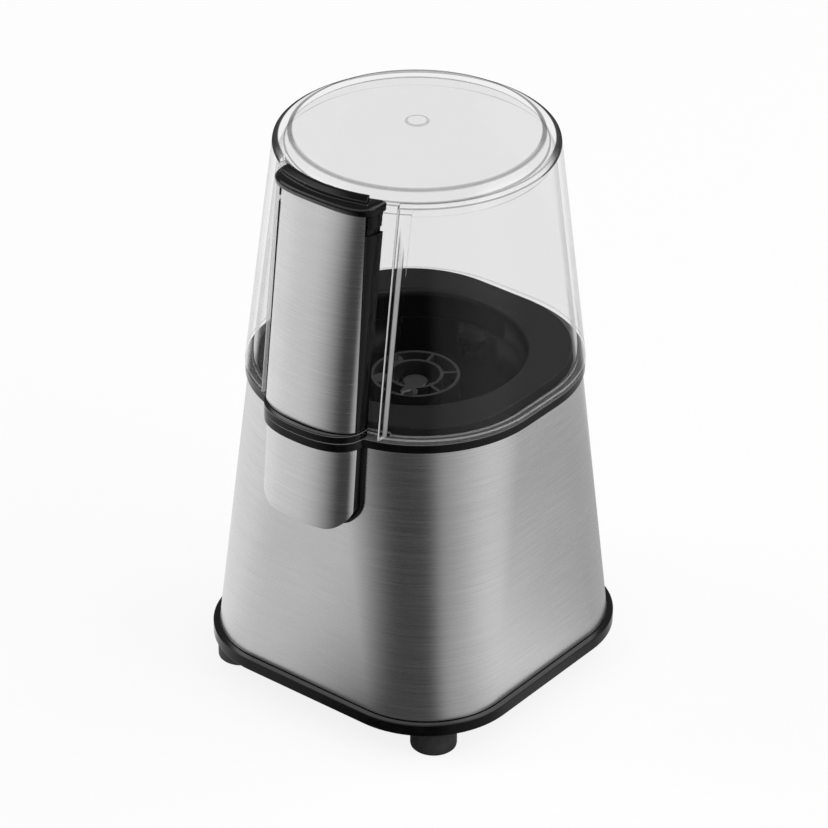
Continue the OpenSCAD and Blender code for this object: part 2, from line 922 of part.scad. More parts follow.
module micro_switch() {
    case_y = switch_y - 0.05;
    terminal_l = 6;
    ear_t = 0.8;
    ear_w = 2.6;
    color("#2b2b2e")
        difference() {
            translate([-switch_l / 2, case_y - switch_t, z_switch - switch_h])
                cube([switch_l, switch_t, switch_h]);
            for (side = [-1, 1])
                translate([side * peg_x, case_y - switch_t - cut,
                    z_switch - switch_h / 2 + side * peg_z])
                    bar_y(0, switch_t + 2 * cut, peg_r + screw_gap);
            translate([lever_x + pin_arm, lever_y, z_switch - 4])
                cylinder(h = 4 + cut, r = pin_r + running_gap);
        }
    color("#b08d3c")
        for (x = [-10, 0, 10])
            translate([x - 0.4, lever_y - 3, z_switch - switch_h - terminal_l])
                cube([0.8, 6, terminal_l]);
    color("#c9c9c9")
        for (side = [-1, 1])
            translate([lever_x - ear_w / 2, lever_y + side * (lever_w / 2 + 0.65) - ear_t / 2, z_switch])
                difference() {
                    cube([ear_w, ear_t, lever_pivot_z - z_switch + 1.3]);
                    translate([ear_w / 2, -cut, lever_pivot_z - z_switch])
                        bar_y(0, ear_t + 2 * cut, lever_pin_r + running_gap);
                }
}

module switch_lever() {
    half_axle = lever_w / 2 + 1.4;
    color("#cfd0d2")
        translate([lever_x, lever_y, lever_pivot_z]) {
            rotate([0, -rest_angle, 0])
                translate([0, -lever_w / 2, -lever_t / 2])
                    cube([lever_arm + lever_tail, lever_w, lever_t]);
            bar_y(-half_axle, half_axle, lever_pin_r);
        }
}

module switch_pin() {
    pin_sunk = 3;
    color("#b8352c")
        translate([lever_x + pin_arm, lever_y, z_switch - pin_sunk])
            cylinder(h = pin_top - z_switch + pin_sunk, r = pin_r);
}

// ---- Drive coupling and shaft ----

module drive_coupling() {
    hub_r = shaft_r + 2.6;
    hub_z = z_well + 0.6;
    rib_h = z_coupling - coupling_floor_z;
    between = coupling_r - coupling_hub_r;
    color("#1d1d20")
        difference() {
            union() {
                ring(coupling_r, coupling_r - coupling_wall, coupling_floor_z, rib_h);
                ring(coupling_hub_r, coupling_hub_r - coupling_wall, coupling_floor_z, rib_h);
                translate([0, 0, coupling_floor_z])
                    cylinder(h = coupling_floor_t, r = coupling_r);
                translate([0, 0, hub_z])
                    cylinder(h = coupling_floor_z - hub_z + 1, r = hub_r);
                for (i = [0 : coupling_ribs - 1])
                    rotate(rib_angle + i * rib_pitch)
                        translate([coupling_hub_r - coupling_wall / 2, -coupling_wall / 2,
                            coupling_floor_z])
                            cube([between, coupling_wall, rib_h]);
                for (i = [0 : 2])
                    rotate(dog_angle + i * dog_pitch)
                        translate([coupling_hub_r + between / 2 - coupling_wall / 2, 0,
                            coupling_floor_z])
                            cylinder(h = rib_h, r = dog_w / 2 + coupling_wall / 2);
            }
            translate([0, 0, z_well]) cylinder(h = well_depth, r = shaft_r);
        }
}

module coupling_nut() {
    nut_r = 4.5;
    cover_t = 1.2;
    z0 = coupling_floor_z + coupling_floor_t;
    color("#3a3a3d")
        difference() {
            translate([0, 0, z0])
                cylinder(h = shaft_z1 - z0 + seat_gap + cover_t, r = nut_r);
            translate([0, 0, z0 - cut])
                cylinder(h = shaft_z1 - z0 + seat_gap + cut, r = shaft_r);
        }
}

module shaft_seal() {
    color("#2a2a2a")
        ring(seal_r, shaft_r + running_gap, z_well - 4, 3.6);
}

module motor_shaft() {
    color("silver")
        translate([0, 0, shaft_z0])
            cylinder(h = shaft_z1 - shaft_z0, r = shaft_r);
}

// ---- Motor ----

// A self-aligning bronze bush: a ball with its ends cut flat, and a bore
module bush(z) {
    color("#a9803f")
        translate([0, 0, z])
            rotate_extrude()
                difference() {
                    intersection() {
                        circle(bush_r);
                        translate([0, -bush_h / 2]) square([bush_r, bush_h]);
                    }
                    translate([-cut, -bush_h]) square([shaft_r + running_gap + cut, 2 * bush_h]);
                }
}

upper_bush_z = upper_bracket_z + bracket_t;
lower_bush_z = lower_bracket_z;

module upper_bush() {
    bush(upper_bush_z);
}

module lower_bush() {
    bush(lower_bush_z);
}

// The two straps that hold a bush, and the plate between the motor's bolts
module bracket(z, bush_z, half_l, half_w) {
    cup_r = bush_r + 1.8;
    difference() {
        union() {
            translate([-half_l, -half_w, z]) cube([2 * half_l, 2 * half_w, bracket_t]);
            translate([0, 0, bush_z - bush_h / 2]) cylinder(h = bush_h, r = cup_r);
        }
        translate([0, 0, bush_z]) sphere(bush_r + 0.02);
        translate([0, 0, bush_z - bush_h])
            cylinder(h = 2 * bush_h, r = sqrt(pow(bush_r, 2) - pow(bush_h / 2, 2)) + 0.02);
        for (side = [-1, 1])
            translate([side * bolt_x, 0, z - cut])
                cylinder(h = bracket_t + 2 * cut, r = bolt_r + screw_gap);
    }
}

module upper_bracket() {
    ear_r = damper_r + 2.5;
    color("#8d8f92")
        difference() {
            union() {
                bracket(upper_bracket_z, upper_bush_z, bolt_x + 4, 8);
                for (x = [-1, 1])
                    translate([x * mount_x, 0, upper_bracket_z + bracket_t / 2])
                        cube([2 * ear_r, 2 * mount_y, bracket_t], center = true);
                at_motor_mounts()
                    translate([0, 0, upper_bracket_z])
                        cylinder(h = bracket_t, r = ear_r);
            }
            at_motor_mounts()
                translate([0, 0, upper_bracket_z - cut])
                    cylinder(h = bracket_t + 2 * cut, r = damper_r - 1.5);
            for (side = [-1, 1])
                translate([side * bolt_x, 0, upper_bracket_z - cut])
                    cylinder(h = bracket_t + 2 * cut, r = bolt_r + screw_gap);
        }
}

module lower_bracket() {
    color("#8d8f92")
        bracket(lower_bracket_z, lower_bush_z, bolt_x + 4, 9);
}

module through_bolts() {
    head_h = 2.4;
    color("silver")
        for (side = [-1, 1])
            translate([side * bolt_x, 0, 0]) {
                translate([0, 0, lower_bracket_z - head_h])
                    cylinder(h = head_h, r = 3.6);
                translate([0, 0, lower_bracket_z - 1])
                    cylinder(h = upper_bracket_z + bracket_t + 3 - lower_bracket_z, r = bolt_r);
                ring(4, bolt_r, upper_bracket_z + bracket_t, 1.8);
                ring(4, bolt_r, lower_bracket_z + bracket_t, stack_z0 - lower_bracket_z - bracket_t);
                ring(4, bolt_r, stack_z1, upper_bracket_z - stack_z1);
            }
}

module stator_core() {
    bore_r = rotor_r + air_gap;
    pole_half = 9;
    yoke_t = 6;
    shoe_t = 4;
    color("#6f7276")
        slab(stack_z0, stack_h)
            difference() {
                square([stator_w, stator_d], center = true);
                for (x = [-1, 1], y = [-1, 1])
                    translate([x * stator_w / 2, y * stator_d / 2])
                        rotate(45)
                            square(9, center = true);
                circle(bore_r);
                for (y = [-1, 1], x = [-1, 1])
                    translate([
                        x * (pole_half + coil_t / 2 + 0.3),
                        y * (stator_d / 2 - yoke_t - coil_t / 2 - 0.2)
                    ])
                        square([coil_t + 0.6, coil_t + 0.4], center = true);
                for (x = [-1, 1])
                    translate([x * (bore_r + 1), 0])
                        square([6, 2 * (stator_d / 2 - yoke_t - coil_t - shoe_t)], center = true);
                for (side = [-1, 1])
                    translate([side * bolt_x, 0])
                        circle(bolt_r + screw_gap);
            }
}

module field_coils() {
    pole_half = 9;
    coil_y = rotor_r - 1.5;
    coil_depth = stator_d / 2 - 6.2 - coil_y;
    band = coil_t - 0.6;
    inner_w = 2 * pole_half + 0.4;
    inner_h = stack_h + 0.6;
    bevel = 4;
    color("#a8552b")
        for (turn = [0, 180])
            rotate(turn)
                translate([0, coil_y + coil_depth, stack_z0 + stack_h / 2])
                    rotate([90, 0, 0])
                        linear_extrude(coil_depth)
                            difference() {
                                square([inner_w + 2 * band, inner_h + 2 * band], center = true);
                                square([inner_w, inner_h], center = true);
                                for (x = [-1, 1], y = [-1, 1])
                                    translate([x * (inner_w / 2 + band), y * (inner_h / 2 + band)])
                                        rotate(45)
                                            square(bevel, center = true);
                            }
}

slot_r = 1.9;
slot_ring = rotor_r - slot_r - 1.6;

module rotor_core() {
    color("#7a7d81")
        slab(stack_z0, stack_h)
            difference() {
                circle(rotor_r);
                circle(shaft_r);
                for (i = [0 : rotor_slots - 1])
                    rotate(i * 360 / rotor_slots) {
                        translate([slot_ring, 0]) circle(slot_r);
                        translate([slot_ring, -0.6]) square([6, 1.2]);
                    }
            }
}

module rotor_windings() {
    end_h = 6;
    end_r = rotor_r - 1.6;
    inner_r = shaft_r + 1.2;
    color("#b4602e") {
        for (z = [stack_z0 - end_h, stack_z1])
            translate([0, 0, z])
                rotate_extrude()
                    polygon([
                        [inner_r, 0.2], [end_r - 2, 0.2], [end_r, 1.6], [end_r, end_h - 1.6],
                        [end_r - 2, end_h - 0.2], [inner_r, end_h - 0.2]
                    ]);
        for (i = [0 : rotor_slots - 1])
            rotate(i * 360 / rotor_slots)
                translate([slot_ring, 0, stack_z0 - 1])
                    cylinder(h = stack_h + 2, r = slot_r - 0.15, $fn = 24);
    }
}

module commutator() {
    bars = 2 * rotor_slots;
    color("#b87333")
        slab(commutator_z, commutator_h)
            difference() {
                circle(commutator_r);
                circle(shaft_r);
                for (i = [0 : bars - 1])
                    rotate(i * 360 / bars)
                        translate([commutator_r - 0.8, -0.2])
                            square([2, 0.4]);
            }
}

module cooling_fan() {
    hub_r = 7;
    plate_t = 1.2;
    blade_t = 1.4;
    fan_z = shaft_z0 + 1;
    fan_h = 5.5;
    color("#d8d6cf")
        difference() {
            union() {
                translate([0, 0, fan_z]) cylinder(h = fan_h, r = hub_r);
                translate([0, 0, fan_z]) cylinder(h = plate_t, r = fan_r);
                for (i = [0 : fan_blades - 1])
                    rotate(i * 360 / fan_blades)
                        translate([hub_r - 1, -blade_t / 2, fan_z])
                            cube([fan_r - hub_r, blade_t, fan_h]);
            }
            translate([0, 0, fan_z - cut]) cylinder(h = 20, r = shaft_r);
        }
}

module brush_holders() {
    tube_t = 0.8;
    half = brush / 2 + 0.1;
    tube_y = commutator_r + 1.4;
    tube_l = brush_l + 1;
    brush_z = commutator_z + commutator_h / 2;
    foot_z = lower_bracket_z + bracket_t + 0.05;
    color("#b59a4a")
        for (side = [-1, 1])
            rotate(side * 90) {
                difference() {
                    translate([-half - tube_t, tube_y, brush_z - half - tube_t])
                        cube([2 * (half + tube_t), tube_l, 2 * (half + tube_t)]);
                    translate([-half, tube_y - cut, brush_z - half])
                        cube([2 * half, tube_l + cut - tube_t, 2 * half]);
                }
                translate([-half, tube_y + 1, foot_z])
                    cube([2 * half, tube_l - 2, brush_z - half - 0.2 - foot_z]);
            }
}

module carbon_brushes() {
    color("#303030")
        for (side = [-1, 1])
            rotate(side * 90)
                translate([-brush / 2, commutator_r + 0.05,
                    commutator_z + commutator_h / 2 - brush / 2])
                    cube([brush, brush_l, brush]);
}

module motor_dampers() {
    waist_r = damper_r - 1.6;
    z0 = upper_bracket_z - 1.6;
    z1 = upper_bracket_z + bracket_t + damper_h - 1.1;
    bore_r = post_bore_r + 0.4;
    color("#262626")
        at_motor_mounts()
            rotate_extrude()
                polygon([
                    [bore_r, z0],
                    [damper_r, z0],
                    [damper_r, upper_bracket_z - 0.05],
                    [waist_r, upper_bracket_z - 0.05],
                    [waist_r, upper_bracket_z + bracket_t + 0.05],
                    [damper_r, upper_bracket_z + bracket_t + 0.05],
                    [damper_r, z1],
                    [bore_r, z1]
                ]);
}

module motor_screws() {
    head_h = 1.8;
    head_r = screw_head_r + 0.4;
    color("silver")
        at_motor_mounts() {
            translate([0, 0, motor_screw_z - head_h]) cylinder(h = head_h, r = head_r);
            translate([0, 0, motor_screw_z - 0.2]) cylinder(h = motor_screw_l, r = screw_r);
        }
}

// ---- Lid and handle ----

// Half of the lid's straight front and the radius of its corners, at one height
function lid_straight(z) = along(z, z_seat, z_shoulder, lid_w / 2 - collar_corner, 0);
function lid_r(z) = along(z, z_seat, z_shoulder, collar_corner, lid_top_r);
// Where the lid's front lies at a distance x from the middle, inset from its outer face
function lid_y(x, z, inset) =
    -lid_straight(z) - sqrt(pow(lid_r(z) - inset, 2) - pow(x - lid_straight(z), 2));

// The pocket's plan in front of its floor, which flares towards the outer face
module pocket_plan(in_x, in_y, out_x, out_y) {
    polygon([
        [-in_x, in_y], [-out_x, out_y], [-out_x, -lid_w], [out_x, -lid_w], [out_x, out_y], [in_x, in_y]
    ]);
}

// The room that the handle's pocket takes out of the lid, grown for the wall round it
module pocket_zone(grow, z1) {
    in_x = pocket_half_w + grow;
    out_x = in_x + pocket_flare;
    depth = pocket_t + grow;
    translate([-in_x, -lid_w, z_seat - cut])
        cube([2 * in_x, lid_w, z1 - z_seat + cut]);
    hull() {
        slab(z_seat - cut, slice)
            pocket_plan(in_x, lid_y(in_x, z_seat, 0) + depth, out_x, lid_y(out_x, z_seat, 0) + grow);
        slab(z1 - slice, slice)
            pocket_plan(in_x, lid_y(in_x, z1, 0) + depth, out_x, lid_y(out_x, z1, 0) + grow);
    }
}

// The floor that the pocket is sunk to, all the way up
module pocket_floor(inset) {
    lid_solid(inset);
    slab(z_shoulder - slice, 2 * shoulder_rise) circle(lid_top_r - inset);
}

// Curves of the lid's top: a quarter round, and the crown inside the groove
function shoulder_curve(r0, z0, rise, run) = [
    for (a = [0 : 10 : 90]) [r0 - run + run * cos(a), z0 + rise * sin(a)]
];
function crown_curve(r0, z0, rise) = [
    for (i = [9 : -1 : 0]) [r0 * i / 10, z0 + rise * (1 - pow(i / 10, 2))]
];

module lid_shell() {
    ceiling_z = z_groove - lid_wall;
    color([0.85, 0.88, 0.9, 0.35])
        difference() {
            union() {
                difference() {
                    union() {
                        lid_solid(0);
                        rotate_extrude()
                            difference() {
                                polygon(concat(
                                    [[0, z_shoulder - slice], [lid_top_r, z_shoulder - slice]],
                                    shoulder_curve(lid_top_r, z_shoulder, shoulder_edge,
                                        shoulder_edge / 2),
                                    crown_curve(groove_r, z_groove, crown_rise)
                                ));
                                translate([groove_r, z_groove + 0.3]) circle(0.8, $fn = 24);
                            }
                    }
                    difference() {
                        pocket_zone(0, z_pocket);
                        pocket_floor(pocket_t);
                    }
                }
                translate([0, 0, z_crown - 0.4]) cylinder(h = 0.7, r = crown_boss_r);
            }
            difference() {
                intersection() {
                    translate([0, 0, -seat_gap]) lid_solid(lid_wall);
                    rotate_extrude()
                        polygon(concat(
                            [[0, z_seat - cut], [70, z_seat - cut],
                                [70, ceiling_z - ceiling_fillet],
                                [ceiling_r + ceiling_fillet, ceiling_z - ceiling_fillet]],
                            shoulder_curve(ceiling_r + ceiling_fillet, ceiling_z - ceiling_fillet,
                                ceiling_fillet, ceiling_fillet),
                            crown_curve(ceiling_r, ceiling_z, crown_rise)
                        ));
                }
                difference() {
                    pocket_zone(lid_wall, z_pocket);
                    pocket_floor(pocket_t + pocket_wall);
                }
            }
            slab(z_seat - 5, 5 + seat_gap) square(300, center = true);
            at_handle_screws() {
                bar_y(-lid_wall - cut, cut, post_bore_r);
                bar_y(-handle_spot, cut, screw_head_r + slide_gap);
            }
        }
}

// The handle's screw places, each square to the lid's inner face behind the handle
module at_handle_screws() {
    inset = pocket_t + pocket_wall;
    for (side = [-1, 1], z = [z_seat + 32, z_seat + 68])
        translate([side * lid_straight(z), -lid_straight(z), z])
            rotate(side * asin((handle_screw_x - lid_straight(z)) / (lid_r(z) - inset)))
                translate([0, inset - lid_r(z), 0])
                    rotate([-lid_lean, 0, 0])
                        children();
}

// Everything in front of the steel panel's side edge, along the handle
module handle_panel_side(shift) {
    side_profile([
        [-80, z_seat],
        [panel_edge(z_seat) + shift, z_seat],
        [panel_edge(z_shoulder) + shift, z_shoulder],
        [-80, z_shoulder]
    ]);
}

module handle_frame() {
    z_neck = z_skirt - travel - 0.3;
    frame_top = z_head - 0.4;
    z0 = z_seat + seat_gap;
    color("#151517")
        difference() {
            union() {
                difference() {
                    intersection() {
                        handle_solid(0, frame_half_w, z_flange - 1, frame_top);
                        slab(z0, z_neck - z0) square(300, center = true);
                    }
                    handle_panel_side(seat_gap);
                }
                intersection() {
                    handle_solid(0, skirt_half_w - skirt_t - skirt_gap, z_flange - 1, frame_top);
                    difference() {
                        slab(z0, 200) square(300, center = true);
                        handle_panel_side(0.5);
                    }
                }
                slab(z0, flange_h - seat_gap) flange_outline();
            }
            difference() {
                handle_solid(frame_t + steel_t, handle_half_w, z_flange, z_shoulder);
                lid_solid(pocket_t - back_t);
                at_handle_screws()
                    bar_y(-lid_wall - handle_boss_l, 0, handle_boss_r);
            }
            lid_solid(pocket_t - seat_gap);
            at_handle_screws()
                bar_y(-lid_wall - handle_boss_l - cut, cut, post_bore_r);
            translate([0, -plunger_reach, z_seat - cut])
                cylinder(h = flange_h + 4, r = rod_r + running_gap);
        }
}

module handle_screws() {
    head_h = 1.6;
    color("silver")
        at_handle_screws() {
            bar_y(-handle_screw_l, 0, screw_r);
            bar_y(seat_gap - handle_spot, seat_gap - handle_spot + head_h, screw_head_r);
        }
}

module handle_panel() {
    color("#c6c7c9")
        intersection() {
            difference() {
                handle_solid(0, handle_half_w, z_flange + seat_gap, z_head);
                handle_solid(steel_t, handle_half_w, z_flange - 1, z_head + 1);
            }
            handle_panel_side(0);
        }
}

// ---- Push button ----

module push_button() {
    lip_t = 0.6;
    lip_front = handle_front(z_head) - lip_t;
    lip_power = 3.2;
    lip_depth = bow_depth + lip_t;
    cap_depth = 12;
    cap_power = 3;
    rim_h = 2.6;
    dome_h = z_cap - z_lip - rim_h;
    dome_run = 2.2;
    ridge_r0 = lid_top_r + 0.8;
    ridge_r1 = ridge_r0 + ridge_t;
    ridge_angle = asin(ridge_half_w / ridge_r1);
    inner_half_w = skirt_half_w - skirt_t;
    rear_y = -lid_top_r + 12;
    color("#121214")
        difference() {
            union() {
                hull() {
                    slab(z_lip, slice)
                        bowed_outline(cap_half_w, lip_depth + lip_t, lip_power,
                            lip_front - lip_t, rear_y);
                    slab(z_lip + rim_h - slice, slice)
                        bowed_outline(cap_half_w, cap_depth, cap_power, -cap_reach, rear_y);
                    slab(z_cap - dome_h / 3, slice)
                        bowed_outline(cap_half_w - dome_run / 3, cap_depth - dome_run / 3,
                            cap_power, -cap_reach + dome_run / 3, rear_y);
                    slab(z_cap - slice, slice)
                        bowed_outline(cap_half_w - dome_run, cap_depth - dome_run, cap_power,
                            -cap_reach + dome_run, rear_y);
                }
                difference() {
                    handle_solid(0, skirt_half_w, z_skirt, z_head);
                    handle_panel_side(slide_gap + 0.1);
                    handle_solid(0, inner_half_w, z_skirt - cut, z_head + cut);
                }
                rotate([0, 0, 270 - ridge_angle])
                    rotate_extrude(angle = 2 * ridge_angle)
                        polygon([
                            [ridge_r0, z_cap - 0.2],
                            [ridge_r1, z_cap - 0.2],
                            [ridge_r1 - 0.3, z_cap + ridge_h / 2],
                            [ridge_r0 + ridge_t / 3, z_cap + ridge_h],
                            [ridge_r0, z_cap + ridge_h]
                        ]);
            }
            slab(z_lip - cut, z_cap - cap_t - z_lip + cut)
                bowed_outline(inner_half_w, lip_depth, lip_power, lip_front, 0);
            translate([0, 0, travel]) pocket_floor(pocket_t - 0.7);
        }
}

module push_rod() {
    knee_y = -plunger_reach;
    color("#dedcd4") {
        translate([0, knee_y, rod_foot_z])
            cylinder(h = rod_knee_z - rod_foot_z, r = rod_r);
        translate([0, knee_y, rod_collar_z])
            cylinder(h = rod_collar_t, r = rod_collar_r);
        rotate([90, 0, 90])
            translate([0, 0, -rod_bar_w / 2])
                linear_extrude(rod_bar_w)
                    polygon([
                        [knee_y - rod_bar_t / 2, rod_collar_z + 0.5],
                        [knee_y + rod_bar_t / 2, rod_collar_z + 0.5],
                        [rod_head_y + rod_bar_t / 2, rod_head_z - 0.05],
                        [rod_head_y - rod_bar_t / 2, rod_head_z - 0.05]
                    ]);
    }
}

module button_spring() {
    color("silver")
        translate([0, -plunger_reach, 0])
            coil_spring(spring_r, spring_wire, z_flange + seat_gap, rod_collar_z - seat_gap, 4);
}

feet();
base_plate();
base_screws();
steel_housing();
cord_gland();
collar_ring();
well_deck();
pod_frame();
pod_panel();
switch_plunger();
plunger_spring();
micro_switch();
switch_lever();
switch_pin();
drive_coupling();
coupling_nut();
shaft_seal();
motor_shaft();
upper_bush();
lower_bush();
rotor_core();
rotor_windings();
commutator();
cooling_fan();
stator_core();
field_coils();
upper_bracket();
lower_bracket();
through_bolts();
brush_holders();
carbon_brushes();
motor_dampers();
motor_screws();
lid_shell();
handle_frame();
handle_panel();
handle_screws();
push_button();
push_rod();
button_spring();
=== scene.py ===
"""Finishes, rounded skins, studio and camera of an electric spice grinder.

The grinder has a tapered brushed-steel housing on four feet, a black deck with
a cup well, and a clear lid with a steel-fronted handle and a push button.
Everything is in metres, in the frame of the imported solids.
"""

import logging
import math
from dataclasses import dataclass, field
from enum import Enum
from typing import Callable, Sequence

import bmesh
import bpy
import numpy as np
from mathutils import Matrix, Vector

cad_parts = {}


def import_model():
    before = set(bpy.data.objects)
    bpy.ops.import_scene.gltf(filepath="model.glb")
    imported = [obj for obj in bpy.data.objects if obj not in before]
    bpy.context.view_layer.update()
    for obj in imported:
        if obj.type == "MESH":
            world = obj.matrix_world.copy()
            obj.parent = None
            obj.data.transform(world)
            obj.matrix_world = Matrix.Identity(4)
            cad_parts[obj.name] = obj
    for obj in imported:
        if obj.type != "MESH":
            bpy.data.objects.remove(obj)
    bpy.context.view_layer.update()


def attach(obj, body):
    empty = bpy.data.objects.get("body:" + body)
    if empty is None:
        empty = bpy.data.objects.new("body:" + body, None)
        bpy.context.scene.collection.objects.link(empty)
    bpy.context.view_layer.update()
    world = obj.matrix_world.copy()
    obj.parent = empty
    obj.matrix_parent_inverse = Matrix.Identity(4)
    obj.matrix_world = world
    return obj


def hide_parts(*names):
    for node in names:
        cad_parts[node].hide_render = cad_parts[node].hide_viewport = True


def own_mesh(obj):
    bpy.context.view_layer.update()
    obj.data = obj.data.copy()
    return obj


LOG = logging.getLogger("spice_grinder")
MM = 0.001

Number = float | int
Plan = np.ndarray


# ---- Shader maths ----


class Wire:
    """A node socket used as a value; each operator adds a Math node."""

    def __init__(self, sheet: "Sheet", socket: bpy.types.NodeSocket) -> None:
        """Wraps a socket.

        Args:
            sheet: The node sheet that new nodes go on.
            socket: The output socket that holds the value.
        """
        self.sheet = sheet
        self.socket = socket

    def maths(self, operation: str, *others: "Wire | Number", swap: bool = False) -> "Wire":
        """Adds a Math node.

        Args:
            operation: The Math node's operation.
            others: The further operands.
            swap: Whether this value is the second operand.

        Returns:
            The node's result.
        """
        operands = [self, *others]
        if swap:
            operands.reverse()
        values = dict(enumerate(operands))
        return self.sheet.out(self.sheet.node("ShaderNodeMath", {"operation": operation}, values))

    def __add__(self, other: "Wire | Number") -> "Wire":
        """Sum."""
        return self.maths("ADD", other)

    __radd__ = __add__

    def __sub__(self, other: "Wire | Number") -> "Wire":
        """Difference."""
        return self.maths("SUBTRACT", other)

    def __rsub__(self, other: Number) -> "Wire":
        """Difference with this value second."""
        return self.maths("SUBTRACT", other, swap=True)

    def __mul__(self, other: "Wire | Number") -> "Wire":
        """Product."""
        return self.maths("MULTIPLY", other)

    __rmul__ = __mul__

    def __truediv__(self, other: "Wire | Number") -> "Wire":
        """Quotient."""
        return self.maths("DIVIDE", other)

    def __pow__(self, other: "Wire | Number") -> "Wire":
        """Power."""
        return self.maths("POWER", other)

    def sine(self) -> "Wire":
        """Sine of this value in radians."""
        return self.maths("SINE")

    def size(self) -> "Wire":
        """Absolute value."""
        return self.maths("ABSOLUTE")

    def at_most(self, other: "Wire | Number") -> "Wire":
        """Smaller of the two values."""
        return self.maths("MINIMUM", other)

    def at_least(self, other: "Wire | Number") -> "Wire":
        """Larger of the two values."""
        return self.maths("MAXIMUM", other)

    def ease(self, low: Number, high: Number, start: Number = 0.0, end: Number = 1.0) -> "Wire":
        """Maps a range smoothly onto another one and clamps it.

        Args:
            low: The value that gives start.
            high: The value that gives end.
            start: The result at low.
            end: The result at high.

        Returns:
            The mapped value.
        """
        values = {"Value": self, "From Min": low, "From Max": high, "To Min": start, "To Max": end}
        return self.sheet.out(
            self.sheet.node("ShaderNodeMapRange", {"interpolation_type": "SMOOTHSTEP"}, values)
        )


class Sheet:
    """The node sheet of one material or world."""

    def __init__(self, tree: bpy.types.NodeTree) -> None:
        """Empties a node tree so that it can be filled."""
        self.tree = tree
        tree.nodes.clear()

    def node(
        self,
        kind: str,
        settings: dict[str, object] | None = None,
        values: dict[str | int, object] | None = None,
    ) -> bpy.types.Node:
        """Adds a node.

        Args:
            kind: The node's type.
            settings: Its properties, which are set before its sockets.
            values: What goes into its sockets, by name or number: a constant or a Wire.

        Returns:
            The new node.
        """
        made = self.tree.nodes.new(kind)
        for name, value in (settings or {}).items():
            setattr(made, name, value)
        for name, value in (values or {}).items():
            socket = made.inputs[name]
            if isinstance(value, Wire):
                self.tree.links.new(value.socket, socket)
            else:
                socket.default_value = value
        return made

    def out(self, node: bpy.types.Node, name: str | int = 0) -> Wire:
        """Output of a node as a Wire."""
        return Wire(self, node.outputs[name])

    def place(self, stretch: Sequence[float] = (1, 1, 1), turn: Sequence[float] = (0, 0, 0)) -> Wire:
        """Gives the object's own coordinates.

        Args:
            stretch: The scale along each axis.
            turn: The rotation about each axis, in radians.

        Returns:
            The coordinates as a vector.
        """
        coordinates = self.out(self.node("ShaderNodeTexCoord"), "Object")
        values = {"Vector": coordinates, "Scale": stretch, "Rotation": turn}
        return self.out(self.node("ShaderNodeMapping", {}, values))

    def noise(
        self,
        scale: float,
        stretch: Sequence[float] = (1, 1, 1),
        detail: float = 2.0,
        roughness: float = 0.5,
    ) -> Wire:
        """Gives a noise value from 0 to 1.

        Args:
            scale: Bumps per metre.
            stretch: The scale along each axis.
            detail: How many finer layers there are.
            roughness: How strong the finer layers are.

        Returns:
            The noise value.
        """
        values = {
            "Vector": self.place(stretch),
            "Scale": scale,
            "Detail": detail,
            "Roughness": roughness,
        }
        made = self.node("ShaderNodeTexNoise", {}, values)
        return self.out(made, "Fac" if "Fac" in made.outputs else 0)

    def tint(self, mask: Wire, low: Sequence[float], high: Sequence[float]) -> Wire:
        """Blends two colours.

        Args:
            mask: The share of the second colour.
            low: The first colour.
            high: The second colour.

        Returns:
            The blended colour.
        """
        colours = {0: mask, 6: (*low, 1.0), 7: (*high, 1.0)}
        return self.out(self.node("ShaderNodeMix", {"data_type": "RGBA"}, colours), 2)

    def axes(self, vector: Wire | None = None) -> list[Wire]:
        """Splits a vector, or the object's own coordinates, into X, Y and Z."""
        made = self.node("ShaderNodeSeparateXYZ", {}, {0: vector or self.place()})
        return [self.out(made, axis) for axis in "XYZ"]

    def bearing(self, x: Wire, y: Wire) -> Wire:
        """Gives the way round Z in degrees, from the front and positive to the right."""
        return x.maths("ARCTAN2", y * -1) * (180 / math.pi)

    def bump(self, height: Wire, depth: float, strength: float = 1.0) -> Wire:
        """Gives a normal from a height.

        Args:
            height: The height, from 0 to 1.
            depth: The real depth of the relief, in metres.
            strength: How much of it shows.

        Returns:
            The normal.
        """
        sizes = {"Height": height, "Distance": depth, "Strength": strength}
        return self.out(self.node("ShaderNodeBump", {}, sizes))

    def coated(self, values: dict[str | int, object]) -> bpy.types.Node:
        """Adds a Principled shader with these values."""
        return self.node("ShaderNodeBsdfPrincipled", {}, values)

    def mix(self, share: Wire, first: bpy.types.Node, second: bpy.types.Node) -> bpy.types.Node:
        """Mixes two shaders by the second one's share."""
        return self.node("ShaderNodeMixShader", {}, {0: share, 1: self.out(first), 2: self.out(second)})

    def finish(self, shader: bpy.types.Node, output: str = "ShaderNodeOutputMaterial") -> None:
        """Joins the shader to the output."""
        self.node(output, {}, {"Surface": self.out(shader)})


# ---- Finishes ----


def grey(value: float, warm: float = 0.0) -> tuple[float, float, float]:
    """Gives a grey colour.

    Args:
        value: The grey's level.
        warm: How much warmer than neutral it is.

    Returns:
        The colour.
    """
    return (value * (1 + warm), value, value * (1 - warm))


class Grain(Enum):
    """The way that a sheet's brushed lines run."""

    ACROSS = (0.012, 0.012, 1.0)
    ALL_ROUND = (1.0, 1.0, 1.0)


@dataclass(frozen=True)
class Finish:
    """A finish by name; the subclasses say how it looks."""

    name: str

    def build(self) -> bpy.types.Material:
        """Makes the material.

        Returns:
            The finished material.
        """
        material = bpy.data.materials.new(self.name)
        material.use_nodes = True
        sheet = Sheet(material.node_tree)
        sheet.finish(self.shader(sheet))
        return material

    def shader(self, sheet: Sheet) -> bpy.types.Node:
        """Makes the finish's shader on a sheet."""
        raise NotImplementedError


